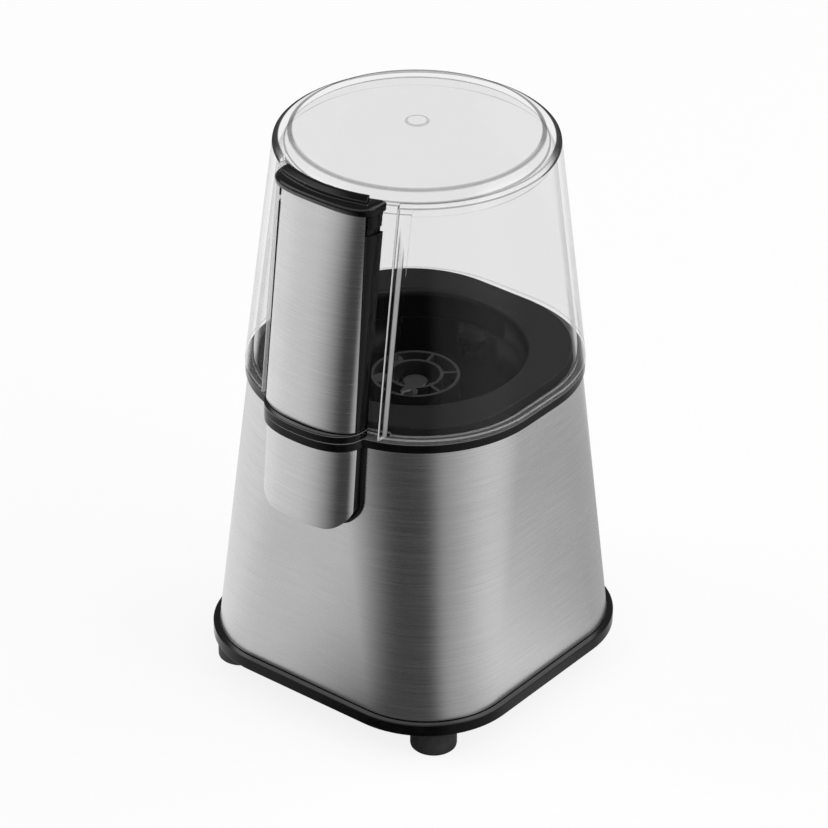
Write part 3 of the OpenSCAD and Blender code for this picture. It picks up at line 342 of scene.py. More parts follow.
@dataclass(frozen=True)
class BrushedSteel(Finish):
    """Stainless sheet with fine brushed lines."""

    tone: float = 0.63
    rough: float = 0.27
    grain: Grain = Grain.ACROSS
    depth: float = 0.000012
    lines_per_metre: float = 4200
    streaks_per_metre: float = 1300
    clouds_per_metre: float = 16

    def shader(self, sheet: Sheet) -> bpy.types.Node:
        """Makes fine lines, longer streaks and faint cloudy patches."""
        lines = sheet.noise(self.lines_per_metre, self.grain.value, 3, 0.65)
        streaks = sheet.noise(self.streaks_per_metre, self.grain.value)
        clouds = sheet.noise(self.clouds_per_metre)
        mask = lines * 0.5 + streaks * 0.17 + clouds * 0.33
        dark, pale = grey(self.tone * 0.88), grey(self.tone * 1.1)
        return sheet.coated(
            {
                "Base Color": sheet.tint(mask.ease(0.3, 0.7), dark, pale),
                "Metallic": 1.0,
                "Roughness": mask.ease(0.3, 0.7, self.rough - 0.04, self.rough + 0.06),
                "Normal": sheet.bump(lines * 0.85 + streaks * 0.15, self.depth, 0.5),
            }
        )


@dataclass(frozen=True)
class GlossBlack(Finish):
    """Polished black moulded plastic."""

    tone: float = 0.0022
    rough: float = 0.1
    # Pale tone of the painted highlight lines at the collar's and the flange's top edges.
    highlight_tone: float = 0.3
    gloss: float = 0.16
    # Heights and half widths of the two painted highlight lines.
    collar_highlight: tuple[float, float] = (0.12352, 0.00026)
    flange_highlight: tuple[float, float] = (0.12635, 0.00022)
    waves_per_metre: float = 90
    wave_depth: float = 0.00003
    smudges_per_metre: float = 240
    smudge_share: float = 0.005
    highlight_share: float = 0.4

    def shader(self, sheet: Sheet) -> bpy.types.Node:
        """Makes a slightly wavy gloss, faint smudges and painted highlight lines along the collar's and
        the flange's top edges.
        """
        waves = sheet.noise(self.waves_per_metre, detail=1)
        smudges = sheet.noise(self.smudges_per_metre, detail=3)
        z = sheet.axes()[2]
        # Painted highlight: pale lines at the collar's and the flange's top edges; the smudges are real.
        highlight_lines = band(z, *self.collar_highlight).at_least(band(z, *self.flange_highlight))
        smudges_and_highlights = smudges.ease(0.35, 0.75) * self.smudge_share + highlight_lines * self.highlight_share
        return sheet.coated(
            {
                "Base Color": sheet.tint(smudges_and_highlights.at_most(1.0), grey(self.tone), grey(self.highlight_tone)),
                "Roughness": smudges.ease(0.3, 0.8, self.rough, self.rough + 0.08),
                "Normal": sheet.bump(waves, self.wave_depth, 0.2),
                "Specular IOR Level": self.gloss,
            }
        )


@dataclass(frozen=True)
class SatinPlastic(Finish):
    """Moulded plastic with a fine eroded texture.

    Where well_r is given, the part inside that reach and below well_z takes a darker
    colour, painted shade in the well. Both are in metres.
    """

    colour: tuple[float, float, float] = grey(0.0075)
    rough: float = 0.4
    relief: float = 0.0000015
    gloss: float = 0.2
    deep: tuple[float, float, float] | None = None
    well_r: float = 0.0
    well_z: float = 0.1255
    grains_per_metre: float = 2400
    clouds_per_metre: float = 40

    def shader(self, sheet: Sheet) -> bpy.types.Node:
        """Makes a fine grain under a soft sheen."""
        fine = sheet.noise(self.grains_per_metre, detail=1)
        broad = sheet.noise(self.clouds_per_metre, detail=2)
        pale = tuple(min(1.0, c * 1.3 + 0.001) for c in self.colour)
        mask = broad
        # Painted shade: inside the well the colour goes near black.
        if self.well_r:
            x, y, z = sheet.axes()
            inside = ((x * x + y * y) ** 0.5).ease(self.well_r + 0.0004, self.well_r - 0.0002)
            mask = 1 - inside * z.ease(self.well_z + 0.0003, self.well_z - 0.0006)
        return sheet.coated(
            {
                "Base Color": sheet.tint(mask, self.deep or self.colour, pale),
                "Roughness": broad.ease(0.3, 0.7, self.rough - 0.04, self.rough + 0.06),
                "Normal": sheet.bump(fine, self.relief, 0.15),
                "Specular IOR Level": self.gloss,
            }
        )


@dataclass(frozen=True)
class SoftRubber(Finish):
    """Black rubber with a dry skin."""

    tone: float = 0.014
    depth: float = 0.00002
    grains_per_metre: float = 1800
    dust_per_metre: float = 150

    def shader(self, sheet: Sheet) -> bpy.types.Node:
        """Makes a dry, slightly dusty skin."""
        fine = sheet.noise(self.grains_per_metre, detail=3)
        dust = sheet.noise(self.dust_per_metre, detail=3)
        return sheet.coated(
            {
                "Base Color": sheet.tint(dust.ease(0.4, 0.8), grey(self.tone), grey(self.tone * 2.0)),
                "Roughness": fine.ease(0.2, 0.8, 0.55, 0.75),
                "Normal": sheet.bump(fine, self.depth, 0.5),
                "Specular IOR Level": 0.4,
            }
        )


@dataclass(frozen=True)
class ClearPlastic(Finish):
    """Clear moulded plastic; its thick edges, groove and pocket sides are painted darker as shade, and
    its pocket's flanks and foot are painted paler as highlight.

    A range says where a mask starts and is full, a band gives its middle and half its
    width, all in metres. Each share says how strongly that feature shows.
    """

    clear_tone: float = 0.948
    # Tone of the painted dark lines that stand in for shade in the thick plastic.
    dark_line_tone: float = 0.03
    # Tone of the painted highlight on the pocket's flanks and the lid's foot.
    pale_strip_tone: float = 0.9
    roll_range: tuple[float, float] = (0.2102, 0.2107)
    rim_range: tuple[float, float] = (0.0478, 0.0484)
    rim_tilt: tuple[float, float] = (0.36, 0.54)
    rim_share: float = 0.97
    edge_band: tuple[float, float] = (0.2108, 0.0004)
    crest_band: tuple[float, float] = (0.0488, 0.0003)
    edge_share: float = 0.5
    crown_range: tuple[float, float] = (0.2135, 0.2141)
    groove_band: tuple[float, float] = (0.0441, 0.0011)
    groove_tilt: tuple[float, float] = (0.47, 0.53)
    groove_share: float = 0.42
    groove_tilt_share: float = 0.24
    boss_band: tuple[float, float] = (0.0038, 0.0007)
    boss_range: tuple[float, float] = (0.2174, 0.2179)
    boss_share: float = 0.3
    pocket_range: tuple[float, float] = (-0.04, -0.041)
    side_bands: tuple[tuple[float, float], ...] = ((0.0264, 0.0003), (0.0249, 0.0003))
    side_share: float = 0.7
    flank_band: tuple[float, float] = (0.0257, 0.0009)
    flank_share: float = 0.6
    ceiling_band: tuple[float, float] = (0.2066, 0.0003)
    ceiling_range: tuple[float, float] = (0.0483, 0.0479)
    ceiling_share: float = 0.45
    foot_band: tuple[float, float] = (0.1253, 0.0005)
    foot_share: float = 0.24
    skin_share: float = 0.013
    mirror_tilt: tuple[float, float] = (0.72, 0.88)
    mirror_share: float = 0.75

    def shader(self, sheet: Sheet) -> bpy.types.Node:
        """Mixes a clear body, painted dark lines, a polished skin and painted pale flanks."""
        x, y, z = sheet.axes()
        reach = (x * x + y * y) ** 0.5
        facing = sheet.out(sheet.node("ShaderNodeLayerWeight", {}, {"Blend": 0.5}), "Facing")
        smudges = sheet.noise(70, detail=3)
        roll = z.ease(*self.roll_range)
        pocket = y.ease(*self.pocket_range) * (1 - roll)
        rim = roll * reach.ease(*self.rim_range) * facing.ease(*self.rim_tilt)
        edge = band(z, *self.edge_band).at_least(band(reach, *self.crest_band) * roll)
        side, other_side = (band(x.size(), *size) for size in self.side_bands)
        groove = band(reach, *self.groove_band) * z.ease(*self.crown_range)
        depth = self.groove_share + facing.ease(*self.groove_tilt) * self.groove_tilt_share
        boss = band(reach, *self.boss_band) * z.ease(*self.boss_range)
        ceiling = band(z, *self.ceiling_band) * reach.ease(*self.ceiling_range)
        # Painted shade: dark lines at the rim, edges, pocket sides, groove, boss and ceiling.
        painted_dark = (rim * self.rim_share).at_least(edge * self.edge_share)
        painted_dark = painted_dark.at_least(side.at_least(other_side) * pocket * self.side_share)
        painted_dark = painted_dark.at_least(groove * depth).at_least(boss * self.boss_share)
        painted_dark = painted_dark.at_least(ceiling * self.ceiling_share)
        clear, dark_lines = (self.see_through(sheet, tone) for tone in (self.clear_tone, self.dark_line_tone))
        body = sheet.mix(painted_dark, clear, dark_lines)
        skin = sheet.coated(
            {
                "Base Color": (1, 1, 1, 1),
                "Metallic": 1.0,
                "Roughness": smudges.ease(0.3, 0.8, 0.04, 0.08),
            }
        )
        mirror = facing.ease(*self.mirror_tilt) * (1 - painted_dark)
        polished = sheet.mix(mirror * self.mirror_share + self.skin_share, body, skin)
        # Painted highlight: a white diffuse shader on the pocket's flanks and the lid's foot.
        pale_strip = sheet.node("ShaderNodeBsdfDiffuse", {}, {"Color": (*grey(self.pale_strip_tone), 1)})
        flank = band(x.size(), *self.flank_band) * pocket * self.flank_share
        return sheet.mix(flank.at_least(band(z, *self.foot_band) * self.foot_share), polished, pale_strip)

    def see_through(self, sheet: Sheet, tone: float) -> bpy.types.Node:
        """Gives a clear shader of one tone."""
        return sheet.node("ShaderNodeBsdfTransparent", {}, {"Color": (*grey(tone), 1)})


def band(value: Wire, middle: float, half: float) -> Wire:
    """Gives 1 where the value is close to the middle and 0 from half away from it."""
    return (value - middle).size().ease(half, half * 0.5)


@dataclass(frozen=True)
class BareMetal(Finish):
    """Turned, pressed, plated or sintered metal."""

    colour: tuple[float, float, float] = grey(0.55)
    rough: float = 0.34
    grain: Grain = Grain.ALL_ROUND
    marks_per_metre: float = 900
    patches_per_metre: float = 120
    depth: float = 0.00003

    def shader(self, sheet: Sheet) -> bpy.types.Node:
        """Makes tool marks and a slightly uneven colour."""
        marks = sheet.noise(self.marks_per_metre, self.grain.value, 3, 0.6)
        patches = sheet.noise(self.patches_per_metre, detail=3)
        dark = tuple(c * 0.75 for c in self.colour)
        return sheet.coated(
            {
                "Base Color": sheet.tint(marks * 0.5 + patches * 0.5, dark, self.colour),
                "Metallic": 1.0,
                "Roughness": patches.ease(0.3, 0.7, self.rough - 0.06, self.rough + 0.1),
                "Normal": sheet.bump(marks, self.depth, 0.5),
            }
        )


@dataclass(frozen=True)
class StackedSteel(Finish):
    """Thin core plates stacked along Z."""

    plate: float = 0.0005
    blued: tuple[float, float, float] = (0.07, 0.075, 0.085)
    bare: tuple[float, float, float] = (0.36, 0.36, 0.37)
    depth: float = 0.0001
    patches_per_metre: float = 220

    def shader(self, sheet: Sheet) -> bpy.types.Node:
        """Makes a line for every plate, with blued and bare patches."""
        ridges = (sheet.axes()[2] * (2 * math.pi / self.plate)).sine() * 0.5 + 0.5
        patches = sheet.noise(self.patches_per_metre, detail=4)
        mask = ridges * 0.5 + patches * 0.5
        return sheet.coated(
            {
                "Base Color": sheet.tint(mask, self.blued, self.bare),
                "Metallic": patches.ease(0.2, 0.8, 0.7, 1.0),
                "Roughness": patches.ease(0.3, 0.7, 0.36, 0.55),
                "Normal": sheet.bump(ridges, self.depth, 0.8),
            }
        )


@dataclass(frozen=True)
class CopperWire(Finish):
    """Enamelled copper wire wound in layers."""

    wire: float = 0.0005
    turn: tuple[float, float, float] = (0, 0, 0)
    # The darker colour is painted shade in the hollows between the wires.
    hollow: tuple[float, float, float] = (0.28, 0.075, 0.02)
    crest: tuple[float, float, float] = (0.75, 0.27, 0.09)
    depth: float = 0.00015
    drift: float = 2.4
    drifts_per_metre: float = 160
    tones_per_metre: float = 300

    def shader(self, sheet: Sheet) -> bpy.types.Node:
        """Makes a ridge for every wire under a clear amber enamel."""
        z = sheet.axes(sheet.place(turn=self.turn))[2]
        drift = sheet.noise(self.drifts_per_metre) * self.drift
        ridges = (z * (2 * math.pi / self.wire) + drift).sine() * 0.5 + 0.5
        tones = sheet.noise(self.tones_per_metre)
        return sheet.coated(
            {
                # Painted shade: the colour goes darker in the hollows between the wires.
                "Base Color": sheet.tint(ridges * 0.6 + tones * 0.4, self.hollow, self.crest),
                "Metallic": 0.85,
                "Roughness": tones.ease(0.3, 0.7, 0.22, 0.34),
                "Coat Weight": 0.6,
                "Normal": sheet.bump(ridges, self.depth, 0.9),
            }
        )


# ---- Plans and skins ----


def along(z: float, z0: float, z1: float, a: float, b: float) -> float:
    """Value at z on the straight line from a at z0 to b at z1."""
    return a + (b - a) * (z - z0) / (z1 - z0)


def on_circle(radius: float, angles: Sequence[float]) -> list[tuple[float, float]]:
    """Gives the points on a circle at some angles."""
    return [(radius * math.cos(a), radius * math.sin(a)) for a in angles]


def round_square(width: float, corner: float, arc: int = 40, flat: int = 6) -> Plan:
    """Gives a square with round corners, counter-clockwise from the right side's middle.

    Args:
        width: The width across the flats.
        corner: The corner radius.
        arc: The number of steps in each corner.
        flat: The number of steps along each flat side.

    Returns:
        The points, as many for every width and corner.
    """
    core = width / 2 - corner
    points = []
    for quarter in range(4):
        turn = quarter * math.pi / 2
        c, s = math.cos(turn), math.sin(turn)
        local = [(core + corner, -core + 2 * core * i / flat) for i in range(flat)]
        local += [
            (core + corner * math.cos(a), core + corner * math.sin(a))
            for a in (math.pi / 2 * i / arc for i in range(arc))
        ]
        points += [(x * c - y * s, x * s + y * c) for x, y in local]
    return np.array(points)


def bow(
    half_w: float,
    depth: float,
    power: float,
    front: float,
    steps: int,
    share: float = 1.0,
    swell: float = 0.0,
) -> Plan:
    """Gives a bowed front from its right side round to its left side.

    Args:
        half_w: Half the width.
        depth: How deep the bow is.
        power: How square it is.
        front: Where its foremost point lies on Y.
        steps: The number of steps.
        share: How much of the depth is followed from the front.
        swell: How far its middle swells out in front of that.

    Returns:
        The points, evenly spaced along the curve.
    """
    start = math.asin(max(0.0, 1 - share) ** (power / 2))
    angles = np.linspace(start, math.pi - start, 801)
    cosines, sines = np.cos(angles), np.clip(np.sin(angles), 0, 1)
    x = half_w * np.sign(cosines) * np.abs(cosines) ** (2 / power)
    y = front + depth - depth * sines ** (2 / power) - swell * (1 - (x / half_w) ** 2)
    run = np.concatenate([[0], np.cumsum(np.hypot(np.diff(x), np.diff(y)))])
    at = np.linspace(0, run[-1], steps + 1)
    return np.stack([np.interp(at, run, x), np.interp(at, run, y)], 1)


def stacked(rows: Sequence[tuple[Plan, float]]) -> np.ndarray:
    """Gives the points of outlines that each lie at a height."""
    return np.concatenate([np.column_stack([plan, np.full(len(plan), z)]) for plan, z in rows])


def mesh_piece(name: str, points: np.ndarray, faces: Sequence[Sequence[int]]) -> bpy.types.Object:
    """Makes an object at the origin from millimetre points.

    Args:
        name: The piece's name.
        points: The vertices, in millimetres.
        faces: The faces' vertex numbers.

    Returns:
        The new object.
    """
    mesh = bpy.data.meshes.new(name)
    mesh.from_pydata((np.asarray(points, float) * MM).tolist(), [], [list(f) for f in faces])
    mesh.validate()
    made = bpy.data.objects.new(name, mesh)
    bpy.context.scene.collection.objects.link(made)
    return made


def tidy(made: bpy.types.Object, merge: float = 1e-6) -> None:
    """Merges doubles and points the faces outwards.

    Args:
        made: The object.
        merge: The distance below which points are merged, in metres.
    """
    shape = bmesh.new()
    shape.from_mesh(made.data)
    bmesh.ops.remove_doubles(shape, verts=shape.verts, dist=merge)
    bmesh.ops.dissolve_degenerate(shape, edges=shape.edges, dist=merge)
    bmesh.ops.recalc_face_normals(shape, faces=shape.faces)
    shape.to_mesh(made.data)
    shape.free()


def soften(made: bpy.types.Object, angle: float = 34.0) -> None:
    """Shades a mesh smoothly except over edges sharper than an angle in degrees."""
    made.data.shade_smooth()
    made.data.set_sharp_from_angle(angle=math.radians(angle))


def grid_faces(rows: int, columns: int, closed_rows: bool, closed_columns: bool) -> list[list[int]]:
    """Gives the quads of a grid of points.

    Args:
        rows: The number of rows.
        columns: The number of points in each row.
        closed_rows: Whether the last row joins the first one.
        closed_columns: Whether each row is a closed loop.

    Returns:
        The faces' vertex numbers.
    """
    faces = []
    for r in range(rows if closed_rows else rows - 1):
        for c in range(columns if closed_columns else columns - 1):
            n, m = (r + 1) % rows, (c + 1) % columns
            faces.append([r * columns + c, r * columns + m, n * columns + m, n * columns + c])
    return faces


def cut_with(made: bpy.types.Object, cutter: bpy.types.Object) -> None:
    """Takes the cutter's form out of a piece and removes the cutter."""
    modifier = made.modifiers.new("cut", "BOOLEAN")
    modifier.operation, modifier.solver, modifier.object = "DIFFERENCE", "EXACT", cutter
    bake_modifiers(made)
    bpy.data.objects.remove(cutter)


def bake_modifiers(made: bpy.types.Object) -> None:
    """Puts what the modifiers make into the mesh and removes them."""
    bpy.context.view_layer.update()
    graph = bpy.context.evaluated_depsgraph_get()
    baked = bpy.data.meshes.new_from_object(made.evaluated_get(graph))
    made.modifiers.clear()
    made.data = baked


def box_cutter(low: Sequence[float], high: Sequence[float]) -> bpy.types.Object:
    """Makes a box between two corners in millimetres."""
    corners = [[(low, high)[(i >> k) & 1][k] for k in range(3)] for i in range(8)]
    faces = [[0, 2, 3, 1], [4, 5, 7, 6], [0, 1, 5, 4], [2, 6, 7, 3], [0, 4, 6, 2], [1, 3, 7, 5]]
    return mesh_piece("cutter", np.array(corners), faces)


def rod_cutter(start: Sequence[float], end: Sequence[float], radius: float) -> bpy.types.Object:
    """Makes a round bar along Y between two points in millimetres."""
    steps = 64
    ring = on_circle(radius, np.linspace(0, 2 * math.pi, steps, endpoint=False))
    points = [(x + start[0], y, z + start[2]) for y in (start[1], end[1]) for x, z in ring]
    faces = grid_faces(2, steps, False, True)
    faces += [list(range(steps)), list(range(2 * steps - 1, steps - 1, -1))]
    made = mesh_piece("cutter", np.array(points), faces)
    tidy(made)
    return made


def rounded_copy(
    node: str,
    name: str,
    bevel: float = 0.3,
    segments: int = 3,
    angle: float = 38.0,
    keep: Callable[[bmesh.types.BMEdge], bool] | None = None,
) -> bpy.types.Object:
    """Copies a solid's mesh, merges it and rounds its sharp edges.

    Args:
        node: The solid's name.
        name: The piece's name.
        bevel: The edge radius in millimetres, or 0 for none.
        segments: The number of steps in each round edge.
        angle: The angle in degrees above which an edge is sharp.
        keep: A test that picks the edges to round, or None for all sharp ones.

    Returns:
        The new object, which stands for the solid.
    """
    source = bpy.data.objects[node]
    mesh = source.data.copy()
    mesh.name = name
    mesh.materials.clear()
    made = bpy.data.objects.new(name, mesh)
    bpy.context.scene.collection.objects.link(made)
    shape = bmesh.new()
    shape.from_mesh(mesh)
    bmesh.ops.remove_doubles(shape, verts=shape.verts, dist=2e-6)
    bmesh.ops.dissolve_degenerate(shape, edges=shape.edges, dist=2e-6)
    bmesh.ops.dissolve_limit(
        shape,
        angle_limit=math.radians(0.4),
        verts=shape.verts,
        edges=shape.edges,
        use_dissolve_boundaries=False,
    )
    if bevel:
        sharp = [
            e
            for e in shape.edges
            if e.is_manifold and e.calc_face_angle(0) > math.radians(angle) and (keep is None or keep(e))
        ]
        bmesh.ops.bevel(
            shape,
            geom=sharp,
            offset=bevel * MM,
            offset_type="OFFSET",
            segments=segments,
            profile=0.5,
            affect="EDGES",
            clamp_overlap=True,
        )
    shape.to_mesh(mesh)
    shape.free()
    soften(made)
    flat = made.modifiers.new("flat faces stay flat", "WEIGHTED_NORMAL")
    flat.keep_sharp = True
    return made


def moulded_copy(node: str, name: str, cell: float = 0.28, passes: int = 5) -> bpy.types.Object:
    """Copies a solid and melts its facets into smooth moulded faces.

    Args:
        node: The solid's name.
        name: The piece's name.
        cell: The size in millimetres of what stays.
        passes: How often the faces are eased.

    Returns:
        The new object.
    """
    made = rounded_copy(node, name, 0.0)
    melt = made.modifiers.new("melt", "REMESH")
    melt.mode, melt.voxel_size = "VOXEL", cell * MM
    ease = made.modifiers.new("ease", "SMOOTH")
    ease.factor, ease.iterations = 0.5, passes
    bake_modifiers(made)
    soften(made, 180)
    return made


def four_places(x: float, y: float, z: float) -> list[tuple[float, float, float]]:
    """Four places at the same height and reach to both sides on X and Y."""
    return [(a, b, z) for a in (-x, x) for b in (-y, y)]


def outside(edge: bmesh.types.BMEdge, reach: float, side: float = 0.72) -> bool:
    """Tells whether an edge lies far out.

    Args:
        edge: The edge.
        reach: Its least distance from the axis, in metres.
        side: Its least distance on X or on Y, as a share of reach.

    Returns:
        Whether both its ends lie that far out.
    """
    far = (max(abs(v.co.x), abs(v.co.y)) > reach * side and v.co.xy.length > reach for v in edge.verts)
    return all(far)


def outer_edge(edge: bmesh.types.BMEdge) -> bool:
    """Whether an edge stands out and isn't a hollow one."""
    return edge.is_convex


def above(edge: bmesh.types.BMEdge, z: float) -> bool:
    """Whether an edge lies above a height."""
    return all(v.co.z > z for v in edge.verts)


def below(edge: bmesh.types.BMEdge, z: float) -> bool:
    """Whether an edge lies below a height."""
    return all(v.co.z < z for v in edge.verts)


# ---- Geometry trees: what repeats or follows a path ----


class Growth(Sheet):
    """A geometry node tree that is run once and leaves a plain mesh."""

    def __init__(self, name: str, inputs: dict[str, float]) -> None:
        """Makes an empty tree with named inputs.

        Args:
            name: The tree's name.
            inputs: The inputs' names and first values.
        """
        super().__init__(bpy.data.node_groups.new(name, "GeometryNodeTree"))
        face = self.tree.interface
        face.new_socket("Geometry", in_out="INPUT", socket_type="NodeSocketGeometry")
        face.new_socket("Geometry", in_out="OUTPUT", socket_type="NodeSocketGeometry")
        self.keys: dict[str, str] = {}
        for label, value in inputs.items():
            made = face.new_socket(label, in_out="INPUT", socket_type="NodeSocketFloat")
            made.default_value = value
            self.keys[label] = made.identifier
        self.start = self.node("NodeGroupInput")

    def given(self, label: str) -> Wire:
        """Value of a named input."""
        return self.out(self.start, label)

    def end(self, geometry: bpy.types.Node, material: bpy.types.Material) -> None:
        """Realizes what the tree has made, dresses it and joins it to the output."""
        real = self.node("GeometryNodeRealizeInstances", {}, {"Geometry": self.out(geometry)})
        values = {"Geometry": self.out(real), "Material": material}
        dressed = self.node("GeometryNodeSetMaterial", {}, values)
        self.node("NodeGroupOutput", {}, {0: self.out(dressed)})

    def grow(
        self, name: str, points: Plan, values: dict[str, float], turns: Plan | None = None
    ) -> bpy.types.Object:
        """Runs the tree once on some points and keeps the mesh.

        Args:
            name: The piece's name.
            points: The places in millimetres.
            values: The named inputs' values.
            turns: The rotation at each place, in radians about X, Y and Z.

        Returns:
            The new object.
        """
        made = mesh_piece(name, points, [])
        spin = made.data.attributes.new("turn", "FLOAT_VECTOR", "POINT")
        spin.data.foreach_set("vector", np.zeros(len(points) * 3) if turns is None else np.ravel(turns))
        modifier = made.modifiers.new(self.tree.name, "NODES")
        modifier.node_group = self.tree
        for label, value in values.items():
            modifier[self.keys[label]] = float(value)
        bake_modifiers(made)
        return made


@dataclass
class Coils:
    """Compression springs with closed ends, wound along a spiral.

    The share called even is the part of the rise that is the same all along; the rest
    falls in the open range, as shares of the height.
    """

    material: bpy.types.Material
    even: float = 0.42
    open_range: tuple[float, float] = (0.12, 0.88)

    def __post_init__(self) -> None:
        """Makes the tree once for all the springs."""
        tree = Growth("wound_wire", {"Turns": 4, "Radius": 0.002, "Height": 0.01, "Wire": 0.0004})
        height = tree.given("Height")
        path = tree.node(
            "GeometryNodeCurveSpiral",
            {},
            {
                "Resolution": 28,
                "Rotations": tree.given("Turns"),
                "Start Radius": tree.given("Radius"),
                "End Radius": tree.given("Radius"),
                "Height": height,
            },
        )
        x, y, z = tree.axes(tree.out(tree.node("GeometryNodeInputPosition")))
        share = z / height
        lift = height * (share * self.even + share.ease(*self.open_range) * (1 - self.even))
        spot = tree.node("ShaderNodeCombineXYZ", {}, {0: x, 1: y, 2: lift})
        places = {"Geometry": tree.out(path), "Position": tree.out(spot)}
        wound = tree.node("GeometryNodeSetPosition", {}, places)
        sizes = {"Resolution": 12, "Radius": tree.given("Wire")}
        ring = tree.node("GeometryNodeCurvePrimitiveCircle", {"mode": "RADIUS"}, sizes)
        curves = {"Curve": tree.out(wound), "Profile Curve": tree.out(ring), "Fill Caps": True}
        wire = tree.node("GeometryNodeCurveToMesh", {}, curves)
        tree.end(wire, self.material)
        self.tree = tree

    def spring(
        self,
        name: str,
        foot: Sequence[float],
        top: float,
        turns: float,
        outer: float,
        wire: float,
    ) -> bpy.types.Object:
        """Makes one spring.

        Args:
            name: The piece's name.
            foot: Where its lower end is centred, in millimetres.
            top: The height of its upper end.
            turns: How often it is wound.
            outer: Its outer radius.
            wire: The wire's radius.

        Returns:
            The spring.
        """
        sizes = {
            "Turns": turns,
            "Radius": (outer - wire) * MM,
            "Height": (top - foot[2] - 2 * wire) * MM,
            "Wire": wire * MM,
        }
        made = self.tree.grow(name, np.zeros((1, 3)), sizes)
        made.data.transform(Matrix.Translation(Vector(foot) * MM + Vector((0, 0, wire * MM))))
        tidy(made)
        soften(made, 50)
        return made


def shorten(
    spring: bpy.types.Object
) -> None:
    """Gives a dressed spring a mesh of its own.

    Args:
        spring: The spring.
    """
    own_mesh(spring)


def repeat(
    name: str,
    source: bpy.types.Object,
    points: Sequence[Sequence[float]],
    material: bpy.types.Material,
    turns: Plan | None = None,
) -> bpy.types.Object:
    """Sets copies of a form at several places and keeps them as one plain mesh.

    Args:
        name: The piece's name.
        source: The form, which is removed afterwards.
        points: The places in millimetres.
        material: The material that the copies get.
        turns: The rotation at each place, in radians about X, Y and Z.

    Returns:
        The new object.
    """
    tree = Growth(f"{name}_repeat", {})
    form = tree.node("GeometryNodeObjectInfo", {"transform_space": "ORIGINAL"}, {"Object": source})
    turn = tree.node("GeometryNodeInputNamedAttribute", {"data_type": "FLOAT_VECTOR"}, {"Name": "turn"})
    spread = tree.node(
        "GeometryNodeInstanceOnPoints",
        {},
        {
            "Points": tree.out(tree.start, "Geometry"),
            "Instance": tree.out(form, "Geometry"),
            "Rotation": tree.out(turn, "Attribute"),
        },
    )
    tree.end(spread, material)
    made = tree.grow(name, np.array(points, float), {}, turns)
    bpy.data.objects.remove(source)
    tidy(made)
    soften(made, 36)
    return made


def turned(name: str, profile: Sequence[Sequence[float]], steps: int = 72) -> bpy.types.Object:
    """Turns a closed outline of radius and height round Z.

    Args:
        name: The form's name.
        profile: The outline's points, in millimetres.
        steps: The number of steps round the axis.

    Returns:
        The new object.
    """
    angles = np.linspace(0, 2 * math.pi, steps, endpoint=False)
    points = [(r * math.cos(a), r * math.sin(a), z) for r, z in profile for a in angles]
    closed = profile[0][0] > 0 or profile[-1][0] > 0
    made = mesh_piece(name, np.array(points), grid_faces(len(profile), steps, closed, True))
    tidy(made)
    soften(made, 36)
    return made


def screw(
    name: str, head_r: float, head_h: float, shank_r: float, length: float, pitch: float = 1.0
) -> bpy.types.Object:
    """Makes a pan-head screw that points up from its head, with a cross recess and thread.

    Args:
        name: The form's name.
        head_r: The head's radius.
        head_h: The head's height.
        shank_r: The thread's outer radius.
        length: The length over all.
        pitch: The thread's pitch.

    Returns:
        The screw, with its head's face at height 0.
    """
    edge, rim = min(0.9, head_h * 0.5), 0.1
    core_r, tip_r = shank_r * 0.8, 0.5
    neck_r, neck_h = shank_r * 0.82, 0.4
    tip, taper, last_turn = 0.2, 1.6, 0.6
    crest = (pitch * 0.42, pitch * 0.5)
    slot_half_w, slot_half_l, slot_depth = 0.42, head_r * 0.6, head_h * 0.5
    profile = [(0.0, 0.0), (head_r - edge, 0.0)]
    for t in np.linspace(0.3, math.pi / 2, 5):
        profile.append((head_r - edge + edge * math.sin(t), edge - edge * math.cos(t)))
    profile += [(head_r, head_h - rim), (head_r - rim, head_h), (neck_r, head_h)]
    z = head_h + neck_h
    while z < length - taper - last_turn:
        profile += [(core_r, z), (shank_r, z + crest[0]), (shank_r, z + crest[1])]
        z += pitch
    profile += [(core_r, length - taper), (tip_r, length - tip), (0.0, length)]
    made = turned(name, profile, 40)
    for x, y in ((slot_half_l, slot_half_w), (slot_half_w, slot_half_l)):
        cut_with(made, box_cutter((-x, -y, -1), (x, y, slot_depth)))
    return made


# ---- The grinder's pieces ----


class Body(Enum):
    """The bodies that new pieces ride on."""

    BASE = "base"
    LID = "lid"
    BUTTON = "button"
    PLUNGER = "plunger"
    ROTOR = "rotor"


class Slot(Enum):
    """The record's material slots."""

    STEEL = "steel"
    GLOSS = "gloss_black"
    SATIN = "satin_black"
    CLEAR = "clear_lid"
    RUBBER = "rubber_black"
    ZINC = "zinc_screw"
    NYLON = "nylon"
    COPPER = "copper"


